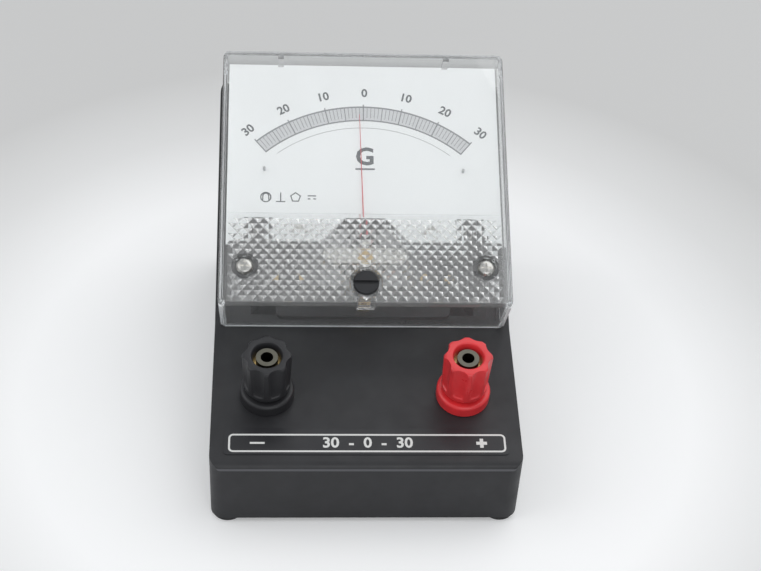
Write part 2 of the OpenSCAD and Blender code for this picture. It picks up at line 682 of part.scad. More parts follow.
module bridge_screws() color(nickel) on_pivot() both_sides(pillar_x) {
    translate([0, 0, bridge_level + bridge_t])
        pan_screw(1.8, 1, screw_r, bridge_level + bridge_t - pole_top + 4);
    translate([0, 0, rear_bridge_level - bridge_t]) mirror([0, 0, 1])
        pan_screw(1.8, 1, screw_r, pole_level - rear_bridge_level + bridge_t + 4);
}
module jewel_screw(length) difference() {
    rod(jewel_r, 0, length);
    rod(staff_r + run_fit, -1, cup_depth);
    block(-2, 2, -0.25, 0.25, length - 0.6, length + 1);
}
module front_jewel_screw() color(brass) on_pivot()
    translate([0, 0, jewel_level]) jewel_screw(front_jewel_len);
module rear_jewel_screw() color(brass) on_pivot()
    translate([0, 0, rear_jewel_level]) mirror([0, 0, 1]) jewel_screw(rear_jewel_len);
module jewel_nuts() color(brass) on_pivot() {
    hex_nut(jewel_nut_af, jewel_r, bridge_level + bridge_t, bridge_level + bridge_t + nut_t);
    hex_nut(jewel_nut_af, jewel_r, rear_bridge_level - bridge_t - nut_t, rear_bridge_level - bridge_t);
}
module solder_tags() color(brass) on_face() translate([0, tag_v, 0]) both_sides(tag_x) {
    rod(0.8, tag_low, frame_t + 0.5);
    rod(1.6, -0.4, 0);
    rod(1.5, frame_t, frame_t + 0.4);
}

// Terminals

module cap_shape() difference() {
    rotate_extrude() polygon([[mouth_r, cap_level], [cap_d / 2 - cap_chamfer, cap_level],
        [cap_d / 2, cap_level + cap_foot - 0.2], [cap_top_d / 2, cap_top - 1.2],
        [cap_top_d / 2 - 1.2, cap_top], [mouth_r + 0.5, cap_top], [mouth_r, cap_top - 0.5]]);
    for (i = [0 : flutes - 1]) rotate((i + 0.5) * 360 / flutes)
        translate([cap_d / 2 + flute_r - flute_depth, 0, 0]) rod(flute_r, cap_level + cap_foot, cap_top + 1);
    rod(insert_r, cap_level - 1, insert_top);
    rod(pocket_r, cap_level - 1, pocket_top);
}
module thread_insert() ring(insert_r, stem_d / 2 + run_fit, insert_level, insert_top);
module clamp_washer() ring(washer_r, stem_d / 2 + part_gap, washer_level, washer_level + washer_t);
module terminal_stem() difference() {
    union() {
        rod(stem_d / 2, collar_h, stem_h);
        rod(insert_r + 0.8, collar_h, collar_h + stem_flange);
        rod(shank_r, shank_low, collar_h + eps);
    }
    rod(socket_d / 2, stem_h - socket_depth, stem_h + 1);
    translate([0, 0, cross_level]) rotate([0, 90, 0]) rod(cross_hole_d / 2, -10, 10);
}
module terminal_collar() difference() {
    rotate_extrude() polygon([[0, -base_wall], [spigot_r, -base_wall], [spigot_r, 0],
        [collar_d / 2, 0], [collar_d / 2, collar_h - 1.4], [collar_d / 2 - 1.2, collar_h],
        [0, collar_h]]);
    rod(shank_r, -base_wall - 1, collar_h + 1);
}
module red_cap() color(red_plastic) on_post(1) cap_shape();
module red_insert() color(brass) on_post(1) thread_insert();
module red_clamp_washer() color(nickel) on_post(1) clamp_washer();
module red_stem() color(nickel) on_post(1) terminal_stem();
module red_collar() color(red_plastic) on_post(1) terminal_collar();
module black_cap() color(black_plastic) on_post(-1) cap_shape();
module black_insert() color(brass) on_post(-1) thread_insert();
module black_clamp_washer() color(nickel) on_post(-1) clamp_washer();
module black_stem() color(nickel) on_post(-1) terminal_stem();
module black_collar() color(black_plastic) on_post(-1) terminal_collar();
module terminal_bushes() color([0.85, 0.82, 0.72]) for (s = [-1, 1]) on_post(s)
    ring(bush_r, shank_r, bush_level, -base_wall);
module terminal_washers() color(nickel) for (s = [-1, 1]) on_post(s)
    ring(under_washer_r, shank_r, bush_level - under_washer_t, bush_level);
module terminal_nuts() color(nickel) for (s = [-1, 1]) on_post(s) {
    hex_nut(nut_af, shank_r, nut1_level, nut1_level + terminal_nut_t);
    hex_nut(nut_af, shank_r, nut2_level, nut2_level + terminal_nut_t);
}
module solder_lugs() color(nickel) for (s = [-1, 1]) on_post(s) difference() {
    union() {
        rod(4.4, lug_level, lug_level + lug_t);
        block(-1.8, 1.8, 0, lug_len, lug_level, lug_level + lug_t);
    }
    rod(shank_r, lug_level - 1, lug_level + 1);
    translate([0, lug_eye_v - post_v, 0]) rod(0.7, lug_level - 1, lug_level + 1);
}

// Leads: a tube swept along a smooth curve from the eye of the lug to the pin of the solder tag
lug_eye_v = post_v + lug_len - 1.6;
lead_bends = [
    panel_point(post_x, lug_eye_v, lug_level + 1.6),
    panel_point(post_x, lug_eye_v + 3.6, lug_level + 5),
    face_point(tag_x, tag_v, tag_low - 10.4),
    face_point(tag_x, tag_v, tag_low - 3.4)
];
lead_route = concat([panel_point(post_x, lug_eye_v, lug_level - 1.2)],
    [for (i = [0 : 10]) curve_point(lead_bends, i / 10)], [face_point(tag_x, tag_v, tag_low - 0.3)]);

// Point at t, from 0 to 1, on the curve that four points shape
function curve_point(p, t) = pow(1 - t, 3) * p[0] + 3 * t * pow(1 - t, 2) * p[1]
    + 3 * t * t * (1 - t) * p[2] + pow(t, 3) * p[3];
function tangent(route, i) = unit(route[min(i + 1, len(route) - 1)] - route[max(i - 1, 0)]);
function sweep_ring(route, i, r, sides) =
    let (t = tangent(route, i), side = unit(cross(t, [1, 0, 0])), up = cross(side, t))
    [for (k = [0 : sides - 1]) route[i] + r * (cos(k * 360 / sides) * side + sin(k * 360 / sides) * up)];
module tube_along(route, r, sides = 8) {
    n = len(route);
    points = [for (i = [0 : n - 1]) each sweep_ring(route, i, r, sides)];
    walls = [for (i = [0 : n - 2], k = [0 : sides - 1])
        [i * sides + k, i * sides + (k + 1) % sides,
            (i + 1) * sides + (k + 1) % sides, (i + 1) * sides + k]];
    polyhedron(points, concat([[for (k = [sides - 1 : -1 : 0]) k]], walls,
        [[for (k = [0 : sides - 1]) (n - 1) * sides + k]]));
}
module red_lead() color(red_plastic) tube_along(lead_route, lead_r);
module black_lead() color(black_plastic) mirror([1, 0, 0]) tube_along(lead_route, lead_r);

base_housing();
bottom_plate();
bottom_screws();
rubber_feet();
front_strip();
front_cover();
cover_screws();
zero_adjuster();
adjuster_clip();
zero_arm();
arm_washer();
dial_plate();
dial_screws();
pointer_stops();
pointer();
balance_weights();
coil_former();
coil_winding();
front_staff();
rear_staff();
front_jewel_screw();
rear_jewel_screw();
jewel_nuts();
front_hairspring();
rear_hairspring();
magnet();
pole_pieces();
iron_core();
core_bracket();
movement_frame();
frame_screws();
front_bridge();
rear_bridge();
bridge_pillars();
bridge_screws();
solder_tags();
red_cap();
red_insert();
red_clamp_washer();
red_stem();
red_collar();
black_cap();
black_insert();
black_clamp_washer();
black_stem();
black_collar();
terminal_bushes();
terminal_washers();
terminal_nuts();
solder_lugs();
red_lead();
black_lead();
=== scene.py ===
"""Looks of the desk galvanometer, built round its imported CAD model."""
import json
import math

import bmesh
import bpy
import numpy as np
from bpy.props import FloatProperty, FloatVectorProperty, IntProperty, PointerProperty
from mathutils import Matrix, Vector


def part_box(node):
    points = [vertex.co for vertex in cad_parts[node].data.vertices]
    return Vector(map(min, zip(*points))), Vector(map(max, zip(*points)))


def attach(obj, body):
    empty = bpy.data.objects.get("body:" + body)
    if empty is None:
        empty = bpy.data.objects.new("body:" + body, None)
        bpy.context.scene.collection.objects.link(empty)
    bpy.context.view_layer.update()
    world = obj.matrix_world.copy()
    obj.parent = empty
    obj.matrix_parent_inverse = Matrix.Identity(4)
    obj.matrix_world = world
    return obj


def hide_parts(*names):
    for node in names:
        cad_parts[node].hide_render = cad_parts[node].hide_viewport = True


bl_info = {
    "name": "Desk galvanometer",
    "version": (1, 0, 0),
    "blender": (4, 5, 0),
    "location": "View3D > Sidebar > Galvanometer",
    "description": "Finishes, moulded edges, clear cover and dial printing for a teaching galvanometer",
    "category": "Object",
}

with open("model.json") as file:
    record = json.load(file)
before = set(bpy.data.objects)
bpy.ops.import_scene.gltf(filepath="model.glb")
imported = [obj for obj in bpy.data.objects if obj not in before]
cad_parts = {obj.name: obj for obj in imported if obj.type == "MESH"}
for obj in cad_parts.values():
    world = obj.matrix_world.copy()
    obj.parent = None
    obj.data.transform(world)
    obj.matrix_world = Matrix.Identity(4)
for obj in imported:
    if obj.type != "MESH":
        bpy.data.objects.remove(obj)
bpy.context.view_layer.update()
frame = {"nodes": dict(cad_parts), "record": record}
MM = 0.001
MATERIAL_PREFIX = "meter_"

# The two sloping planes: y and z where each begins, in millimetres, and its slope in degrees
CREASE = (-68.0, 26.0)
PANEL_TILT = 10.0
PANEL_LEN = 56.0
FACE_TILT = 30.0
FACE_START = (CREASE[0] + PANEL_LEN * math.cos(math.radians(PANEL_TILT)),
              CREASE[1] + PANEL_LEN * math.sin(math.radians(PANEL_TILT)))
FACE_TURN = (math.radians(FACE_TILT), 0, 0)
FACE_UP = np.array([0, math.cos(FACE_TURN[0]), math.sin(FACE_TURN[0])])
FACE_NORMAL = np.array([0, -FACE_UP[2], FACE_UP[1]])

# Places and sizes in millimetres, where x is from the middle, v is up a sloping plane and a level is off it
BASE_HALF_W = 50.0
PAINTED_HIGHLIGHT_YZ = (-67.82, 24.4)  # where the painted highlight line runs along the base's front edge
POST_X, POST_V = 32.0, 28.0
COVER_EDGE_X = 45.9  # past this and the next two, an edge of the cover's face is an outer one
COVER_EDGE_V = (2.3, 90.1)
INNER_FACE = 21.9  # level of the cover's inner face
WELL_X, WELL_V, WELL_R = 39.7, 13.6, 3.8
KNOB_V, KNOB_HOLE_R = 8.0, 4.8
FACETS_FROM_V = 1.7
DIAL_LEVEL = 15.8
PIVOT_V = 18.0
POINTER_LEN = 53.5
FIGURE_GAP = 4.9  # from the scale's outer radius to the middle of its figures
SIGNS_V = 22.6
FOOT_R = 4.5

# Angles in degrees
SCALE_HALF_ANGLE = 40.3
POINTER_REST = 1.5

# Nodes whose surface has another finish than their slot gives
SURFACE_FINISH = {"movement_frame": "black_lacquer", "front_bridge": "nickel", "rear_bridge": "nickel",
                  "zero_arm": "nickel", "red_stem": "dull_and_shaded_nickel", "black_stem": "dull_and_shaded_nickel"}

# Lamps: name, place and side of the square in metres, and power in watts
LAMPS = (("key", (0.55, 0.35, 0.95), 1.2, 3.7), ("left", (-0.8, -0.1, 0.7), 0.8, 2.1),
         ("front", (0.15, -1.0, 0.75), 0.75, 2.3))
LAMP_TARGET = (0, 0, 0.05)
SURROUND_STRENGTH = 0.55

# Floor: half its side in millimetres, and the strength of its glow in the camera's eye
FLOOR_REACH = 3000
FLOOR_GLOW = 0.2

# Camera, fitted to the photograph: place in metres, pitch, yaw and roll in degrees, lens in millimetres
CAMERA_PLACE = (-0.02611, -0.39324, 0.37858)
CAMERA_ANGLES = (40.34, 4.69, -3.5)
CAMERA_LENS = 71.46


# Sizes and colours that a user may change

def length_property(name, description, millimetres):
    """A length that a user may change."""
    return FloatProperty(name=name, description=description, default=millimetres * MM, unit="LENGTH")


def colour_property(name, description, default):
    """A colour that a user may change."""
    return FloatVectorProperty(name=name, description=description, default=default, subtype="COLOR", size=3,
                               min=0, max=1)


class GalvanometerSizes(bpy.types.PropertyGroup):
    """Sizes of the moulded edges, the facets, the caps and the printed lines."""

    base_edge: length_property("Base edge", "Radius of the base's outer edges", 1.1)
    cover_edge: length_property("Cover edge", "Radius of the clear cover's outer edges", 1.6)
    small_edge: length_property("Small edge", "Radius of the edges of knob and screws", 0.12)
    facet_width: length_property("Facet width", "Width of a diamond of the cover's texture", 3.37)
    facet_length: length_property("Facet length", "Length of a diamond up the slope", 3.6)
    facet_depth: length_property("Facet depth", "Height of a diamond's point", 0.82)
    facet_band: length_property("Facet band", "How far up the slope the texture reaches", 32.4)
    flutes: IntProperty(name="Flutes", description="Number of flutes around a terminal cap",
                        default=8, min=5, max=16)
    flute_depth: length_property("Flute depth", "Depth of a flute of the cap", 0.8)
    scale_radius: length_property("Scale radius", "Outer radius of the printed band", 56.8)
    scale_band: length_property("Scale band", "Width of the printed band", 5.4)
    ink_t: length_property("Ink thickness", "How far the printing stands off its surface", 0.02)


class GalvanometerColours(bpy.types.PropertyGroup):
    """Colours of the plastics, the dial and the printing."""

    black: colour_property("Black plastic", "Colour of the base and the black terminal",
                           (0.022, 0.022, 0.0245))
    red: colour_property("Red plastic", "Colour of the red terminal", (0.8, 0.035, 0.042))
    dial: colour_property("Dial", "Colour of the dial plate's paint", (0.9, 0.92, 0.93))
    clear: colour_property("Clear plastic", "Tint of the clear cover", (0.985, 0.99, 0.992))
    pointer: colour_property("Pointer", "Colour of the pointer's lacquer", (0.6, 0.05, 0.07))
    dark_ink: colour_property("Dark ink", "Colour of the figures and lines", (0.09, 0.1, 0.11))
    grey_ink: colour_property("Grey ink", "Colour of the scale's band", (0.62, 0.63, 0.65))
    white_ink: colour_property("White ink", "Colour of the printing on the strip", (0.78, 0.78, 0.76))


def sizes():
    """The sizes in millimetres, by name, with counts as they are."""
    group = bpy.context.scene.galvanometer_sizes
    names = GalvanometerSizes.__annotations__
    return {n: getattr(group, n) if n == "flutes" else getattr(group, n) / MM for n in names}


# Places

def tilted(points, origin, tilt):
    """Points given as x, distance v up a sloping plane and height w off it, in millimetres, to x, y, z in
    metres: the plane starts at origin's y and z, so y = y0 + v cos(tilt) - w sin(tilt) and z = z0 + v
    sin(tilt) + w cos(tilt)."""
    points = np.asarray(points, float)
    c, s = math.cos(math.radians(tilt)), math.sin(math.radians(tilt))
    x, v, w = points[..., 0], points[..., 1], points[..., 2]
    return np.stack([x, origin[0] + v * c - w * s, origin[1] + v * s + w * c], axis=-1) * MM


def on_panel(points):
    """Points of the terminal panel's frame to metres."""
    return tilted(points, CREASE, PANEL_TILT)


def on_face(points):
    """Points of the dial face's frame to metres."""
    return tilted(points, FACE_START, FACE_TILT)


def on_dial(points):
    """Points given from the pointer's axis, in the face's frame, to metres."""
    return on_face(np.asarray(points, float) + [0, PIVOT_V, 0])


def spun(points, degrees):
    """Points turned about the height axis: x cos a - y sin a and x sin a + y cos a."""
    a = math.radians(degrees)
    x, y, z = np.moveaxis(np.asarray(points, float), -1, 0)
    return np.stack([x * math.cos(a) - y * math.sin(a), x * math.sin(a) + y * math.cos(a), z], axis=-1)


# Meshes

def vertex_points(mesh):
    """The places of a mesh's vertices, one row each."""
    points = np.empty(len(mesh.vertices) * 3)
    mesh.vertices.foreach_get("co", points)
    return points.reshape(-1, 3)


def new_object(name, data):
    """An object of the data, in the scene."""
    thing = bpy.data.objects.new(name, data)
    bpy.context.collection.objects.link(thing)
    return thing


def grid_faces(rows, columns, wrap_rows=False, wrap_columns=False):
    """Quads between neighbours of a grid of points stored row by row; a wrapped direction closes on
    itself."""
    i = np.arange(rows if wrap_rows else rows - 1)[:, None]
    j = np.arange(columns if wrap_columns else columns - 1)[None, :]
    i2, j2 = (i + 1) % rows, (j + 1) % columns
    quads = np.stack([i * columns + j, i2 * columns + j, i2 * columns + j2, i * columns + j2], axis=-1)
    return quads.reshape(-1, 4)


def joined(parts):
    """One list of points and faces from several, each with its faces counted from its own first point."""
    points, faces, start = [], [], 0
    for more, its_faces in parts:
        more = np.asarray(more, float).reshape(-1, 3)
        points.append(more)
        faces += [[start + k for k in face] for face in its_faces]
        start += len(more)
    return np.concatenate(points), faces


def outward(mesh):
    """Turns the faces of closed shells outwards."""
    work = bmesh.new()
    work.from_mesh(mesh)
    bmesh.ops.recalc_face_normals(work, faces=work.faces)
    work.to_mesh(mesh)
    work.free()


def edge_facts(mesh):
    """Middle, angle between its two faces and the two face normals of each edge, as arrays."""
    n_edges, n_loops, n_faces = len(mesh.edges), len(mesh.loops), len(mesh.polygons)
    ends = np.empty(n_edges * 2, int)
    mesh.edges.foreach_get("vertices", ends)
    middle = vertex_points(mesh)[ends.reshape(-1, 2)].mean(axis=1)
    edge_of, total, normals = np.empty(n_loops, int), np.empty(n_faces, int), np.empty(n_faces * 3)
    mesh.loops.foreach_get("edge_index", edge_of)
    mesh.polygons.foreach_get("loop_total", total)
    mesh.polygons.foreach_get("normal", normals)
    face_of = np.repeat(np.arange(n_faces), total)
    order = np.argsort(edge_of, kind="stable")
    first = np.searchsorted(edge_of[order], np.arange(n_edges))
    count = np.bincount(edge_of, minlength=n_edges)
    second = np.minimum(first + 1, n_loops - 1)
    normals = normals.reshape(-1, 3)
    n1, n2 = normals[face_of[order[first]]], normals[face_of[order[second]]]
    angle = np.degrees(np.arccos(np.clip((n1 * n2).sum(axis=1), -1, 1)))
    return middle, np.where(count == 2, angle, 0), n1, n2


def complete(piece, finish, body, stands_for, smooth):
    """Gives a piece its finish, its shading and its body, and hides the nodes that it stands for."""
    mesh = piece.data
    mesh.materials.clear()
    mesh.materials.append(finish_of(finish))
    mesh.polygons.foreach_set("use_smooth", np.full(len(mesh.polygons), smooth > 0))
    if smooth > 0:
        mesh.set_sharp_from_angle(angle=math.radians(smooth))
    mesh.update()
    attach(piece, body)
    if stands_for:
        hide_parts(*stands_for)


def make_piece(name, points, faces, finish, body, stands_for=(), smooth=35.0):
    """A mesh object of the given points and faces, smooth but for edges sharper than the angle, that rides
    on a body."""
    mesh = bpy.data.meshes.new(name)
    points = np.asarray(points, float).reshape(-1, 3).tolist()
    mesh.from_pydata(points, [], [list(map(int, face)) for face in faces])
    outward(mesh)
    complete(new_object(name, mesh), finish, body, stands_for, smooth)


def softened(node, name, chooser, width, segments, finish, body, smooth=32.0):
    """A copy of a CAD node with its loose triangles merged and flat ones joined, whose chosen edges a bevel
    rounds. chooser takes the edges' middles in millimetres, their angles and their two normals."""
    mesh = frame["nodes"][node].data.copy()
    mesh.name = name
    work = bmesh.new()
    work.from_mesh(mesh)
    bmesh.ops.remove_doubles(work, verts=work.verts, dist=2e-6)
    bmesh.ops.dissolve_limit(work, angle_limit=math.radians(0.4), verts=work.verts, edges=work.edges)
    work.to_mesh(mesh)
    work.free()
    if "custom_normal" in mesh.attributes:
        mesh.attributes.remove(mesh.attributes["custom_normal"])
    middle, angle, n1, n2 = edge_facts(mesh)
    chosen = chooser(middle / MM, angle, n1, n2)
    weights = mesh.attributes.new("bevel_weight_edge", "FLOAT", "EDGE")
    weights.data.foreach_set("value", chosen.astype(np.float32))
    piece = new_object(name, mesh)
    bevel = piece.modifiers.new("Round edges", "BEVEL")
    bevel.limit_method, bevel.width, bevel.segments = "WEIGHT", width * MM, segments
    bevel.loop_slide, bevel.harden_normals = False, smooth > 0
    complete(piece, finish, body, [node], smooth)


# Shapes

def bars(centres, along, across, up):
    """Closed bars of six faces each: the corners are the centre plus or minus half of each of the three
    edge vectors."""
    centres, along, across, up = (np.asarray(a, float) for a in (centres, along, across, up))
    signs = np.array([[-1, -1, -1], [1, -1, -1], [1, 1, -1], [-1, 1, -1],
                      [-1, -1, 1], [1, -1, 1], [1, 1, 1], [-1, 1, 1]]) / 2
    corners = (centres[:, None] + signs[None, :, :1] * along[:, None]
               + signs[None, :, 1:2] * across[:, None] + signs[None, :, 2:] * up[:, None])
    sides = np.array([[0, 3, 2, 1], [4, 5, 6, 7], [0, 1, 5, 4], [1, 2, 6, 5], [2, 3, 7, 6], [3, 0, 4, 7]])
    faces = (np.arange(len(centres))[:, None, None] * 8 + sides[None]).reshape(-1, 4)
    return corners.reshape(-1, 3), faces.tolist()


def plates(centres, lengths):
    """Bars whose edges run along x, v and the height, with three lengths each."""
    return bars(centres, *(np.asarray(lengths, float)[:, [k]] * np.eye(3)[k] for k in range(3)))


def ring_sector(inner, outer, start, end, low, high, steps):
    """A flat band along an arc: a rectangle of radius and height carried round the axis, from angle start
    to end in degrees counted from straight up, with both ends closed."""
    a = np.radians(np.linspace(start, end, steps))[:, None]
    r = np.array([inner, outer, outer, inner])[None, :]
    w = np.broadcast_to(np.array([low, low, high, high])[None, :], (steps, 4))
    points = np.stack([r * np.sin(a), r * np.cos(a), w], axis=-1).reshape(-1, 3)
    faces = grid_faces(steps, 4, wrap_columns=True).tolist()
    last = (steps - 1) * 4
    return points, faces + [[0, 1, 2, 3], [last + 3, last + 2, last + 1, last]]


def arc(centre, radius, start=0, end=360, steps=20):
    """Points of a circle or a part of it, from angle start to end in degrees."""
    a = np.radians(np.linspace(start, end, steps))
    return np.stack([centre[0] + radius * np.cos(a), centre[1] + radius * np.sin(a)], axis=-1)


def lathe(profile, segments, radius_at=None):
    """A closed profile of radius and height turned about the axis: x = r cos a and v = r sin a. radius_at
    may change the radius with angle and height. Both directions wrap, so the surface is closed."""
    a = np.linspace(0, 2 * np.pi, segments, endpoint=False)[:, None]
    r = np.broadcast_to(profile[None, :, 0], (segments, len(profile)))
    w = np.broadcast_to(profile[None, :, 1], (segments, len(profile)))
    if radius_at:
        r = radius_at(a, r, w)
    points = np.stack([r * np.cos(a), r * np.sin(a), w], axis=-1)
    return points, grid_faces(segments, len(profile), True, True).tolist()


def rod_between(start, end, radius, sides=16):
    """A closed round rod: a circle of points at each end, joined by quads and closed by two flat ends."""
    start, end = np.asarray(start, float), np.asarray(end, float)
    axis = (end - start) / np.linalg.norm(end - start)
    u = np.cross(axis, [0.0, 0.0, 1.0])
    u /= np.linalg.norm(u)
    a = np.linspace(0, 2 * np.pi, sides, endpoint=False)[:, None]
    ring = (np.cos(a) * u + np.sin(a) * np.cross(axis, u)) * radius
    ends = [list(range(sides))[::-1], list(range(sides, 2 * sides))]
    return np.concatenate([start + ring, end + ring]), grid_faces(2, sides, False, True).tolist() + ends


def needle(length, stations=48):
    """A blade along +x with a four-cornered section: half its width falls from 0.42 at the hub to 0.2 at 16
    mm and 0.09 at the tip, half its height from 0.16 to 0.07."""
    along = np.linspace(1.0, length, stations)
    half = np.interp(along, [1, 16, length], [0.42, 0.2, 0.09])
    rise = np.interp(along, [1, length], [0.16, 0.07])
    nil = np.zeros_like(along)
    rows = np.stack([np.stack([along, half, nil], -1), np.stack([along, nil, rise], -1),
                     np.stack([along, -half, nil], -1), np.stack([along, nil, -rise], -1)], axis=1)
    ends = [[3, 2, 1, 0], [4 * stations - 4 + k for k in range(4)]]
    return rows.reshape(-1, 3), grid_faces(stations, 4, False, True).tolist() + ends


def rounded_band(half_w, v0, v1, radius, width, low, high, steps=7):
    """A line of a width along a rectangle with round corners: the path of the outline is carried inwards by
    the width, and the four rings of points close on themselves."""
    corners = [(half_w - radius, v1 - radius, 0), (-half_w + radius, v1 - radius, 90),
               (-half_w + radius, v0 + radius, 180), (half_w - radius, v0 + radius, 270)]
    path = np.concatenate([arc((0, 0), 1.0, a, a + 90, steps) for _, _, a in corners])
    middle = np.concatenate([np.tile([x, v], (steps, 1)) for x, v, _ in corners])
    out, inn = middle + path * radius, middle + path * (radius - width)
    rings = [(out, low), (out, high), (inn, high), (inn, low)]
    points = np.stack([np.concatenate([p, np.full((len(p), 1), w)], axis=1) for p, w in rings], axis=1)
    return points.reshape(-1, 3), grid_faces(len(path), 4, True, True).tolist()


def strokes(paths, width, low, high):
    """Plain strokes of a width: closed bars between the points of each path, a little longer than their
    stretch, so that the corners are filled."""
    starts = np.concatenate([np.asarray(p, float)[:-1] for p in paths])
    ends = np.concatenate([np.asarray(p, float)[1:] for p in paths])
    along = ends - starts
    length = np.linalg.norm(along, axis=1, keepdims=True)
    unit = along / length
    along = along + unit * width * 0.6
    flat = np.concatenate([(starts + ends) / 2, np.full((len(starts), 1), (low + high) / 2)], axis=1)
    up = np.tile([0, 0, high - low], (len(starts), 1))
    side = np.stack([-unit[:, 1], unit[:, 0], np.zeros(len(unit))], axis=-1) * width
    return bars(flat, np.concatenate([along, np.zeros((len(along), 1))], axis=1), side, up)


def lettering(words, size, centre, turn, low, high):
    """Plain figures as closed solids, centred at a point of a plane in millimetres and turned by an angle
    in degrees. Their strokes are a little bolder than the font's. Returns points and faces in the plane's
    own frame."""
    curve = bpy.data.curves.new("figures", "FONT")
    curve.body, curve.size = words, size
    curve.align_x, curve.align_y = "CENTER", "CENTER"
    curve.extrude, curve.resolution_u, curve.offset = 0.5, 3, 0.026 * size
    writer = new_object("figures", curve)
    mesh = bpy.data.meshes.new_from_object(writer.evaluated_get(bpy.context.evaluated_depsgraph_get()))
    points = spun(vertex_points(mesh), turn)
    points[:, 2] = np.where(points[:, 2] > 0, high, low)
    faces = [list(p.vertices) for p in mesh.polygons]
    bpy.data.objects.remove(writer)
    bpy.data.curves.remove(curve)
    bpy.data.meshes.remove(mesh)
    return points + [*centre, 0], faces


def facets(s):
    """A thin plate whose lower side is a field of diamond pyramids: the height over a grid of half widths
    and half lengths is the depth where row and column add up to an even number and nothing elsewhere, and
    each cell is split along its groove. It is cut out round the screws' wells and round the adjuster, and a
    wall closes every rim."""
    hx, hv = s["facet_width"] / 2, s["facet_length"] / 2
    groove, back = INNER_FACE - 0.3, INNER_FACE - 0.04
    columns = int(2 * COVER_EDGE_X / hx) // 2 * 2 + 1
    rows = int((s["facet_band"] - FACETS_FROM_V) / hv) + 1
    x = (np.arange(columns) - (columns - 1) / 2) * hx
    v = s["facet_band"] - np.arange(rows)[::-1] * hv
    grid_x, grid_v = np.meshgrid(x, v)
    i, j = np.meshgrid(np.arange(rows), np.arange(columns), indexing="ij")
    peak = (i + j) % 2 == 0
    inner = (i > 0) & (j > 0) & (i < rows - 1) & (j < columns - 1)
    under = np.stack([grid_x, grid_v, groove - s["facet_depth"] * (peak & inner)], axis=-1).reshape(-1, 3)
    over = np.stack([grid_x, grid_v, np.full_like(grid_x, back)], axis=-1).reshape(-1, 3)
    quads = grid_faces(rows, columns)
    middle = under[quads, :2].mean(axis=1)
    kept = np.ones(len(quads), bool)
    for x0, v0, radius in ((-WELL_X, WELL_V, WELL_R), (WELL_X, WELL_V, WELL_R), (0, KNOB_V, KNOB_HOLE_R)):
        kept &= np.hypot(middle[:, 0] - x0, middle[:, 1] - v0) > radius + 0.3
        for sheet in (under, over):
            out = sheet[:, :2] - [x0, v0]
            away = np.maximum(np.hypot(out[:, 0], out[:, 1]), 1e-6)[:, None]
            sheet[:, :2] = np.where(away < radius, [x0, v0] + out / away * radius, sheet[:, :2])
    quads = quads[kept]
    along = peak.reshape(-1)[quads[:, 0], None]
    one = np.where(along, quads[:, [0, 1, 3]], quads[:, [0, 1, 2]])
    two = np.where(along, quads[:, [1, 2, 3]], quads[:, [0, 2, 3]])
    count = rows * columns
    start, end = quads.reshape(-1), np.roll(quads, -1, axis=1).reshape(-1)
    rim = ~np.isin(start * count + end, end * count + start)
    start, end = start[rim], end[rim]
    wall = np.stack([end, start, start + count, end + count], axis=-1)
    points = np.concatenate([under, over])
    faces = one.tolist() + two.tolist() + (quads[:, ::-1] + count).tolist() + wall.tolist()
    used = np.unique(np.concatenate([quads.reshape(-1), quads.reshape(-1) + count]))
    place = np.full(len(points), -1)
    place[used] = np.arange(len(used))
    return points[used], [[int(place[k]) for k in face] for face in faces]


def cap_profile():
    """Profile of a terminal cap: a round foot, a flank that widens to the top, a round rim, the mouth and
    the bore that clears the insert and the washer."""
    return np.concatenate([
        [[6.05, 5.6]], arc((6.6, 6.5), 0.9, -90, 0, 6), [[7.5, 7.2]], [[7.5, 7.7]],
        np.stack([np.linspace(7.52, 7.87, 9), np.linspace(8.0, 20.2, 9)], axis=-1),
        arc((6.9, 20.5), 1.0, 5, 90, 8), [[6.1, 21.5], [5.5, 21.5]], arc((5.5, 20.9), 0.6, 90, 165, 5)[1:],
        [[4.6, 20.2], [4.6, 17.02], [4.8, 17.0], [4.8, 6.95], [6.05, 6.93]]])


def collar_profile():
    """Profile of a collar: a shank in the panel's hole, a wide foot with a round rim, and a flat top."""
    return np.concatenate([[[2.5, -2.5], [4.0, -2.5], [4.0, 0.0], [8.5, 0.0], [8.8, 0.3]],
                           arc((7.7, 3.4), 1.1, 0, 90, 7), [[6.6, 4.5], [2.5, 4.5]]])


def fluted(count, depth):
    """A function for lathe that cuts flutes into the cap's flank: the radius where it is less than the near
    side of a flute, a cylinder whose axis stands beyond the flank, with the two blended softly. The foot
    and the bore stay round."""
    flank_r, flute_r, soft, bore_r, foot_top, fade_len = 7.5, 4.0, 0.22, 5.9, 7.7, 0.5
    far = flank_r + flute_r - depth
    step = 2 * np.pi / count

    def radius(a, r, w):
        """The radius at angle a and height w, where it is r without flutes."""
        off = (a % step) - step / 2
        inside = np.clip(flute_r ** 2 - (far * np.sin(off)) ** 2, 0, None)
        near = np.where(inside > 0, far * np.cos(off) - np.sqrt(inside), 99.0)
        gap = np.clip(0.5 + (near - r) / (2 * soft), 0, 1)
        cut = near * (1 - gap) + r * gap - soft * gap * (1 - gap)
        fade = np.clip((w - foot_top) / fade_len, 0, 1)
        return np.where(r > bore_r, r + (np.minimum(cut, r) - r) * fade, r)

    return radius


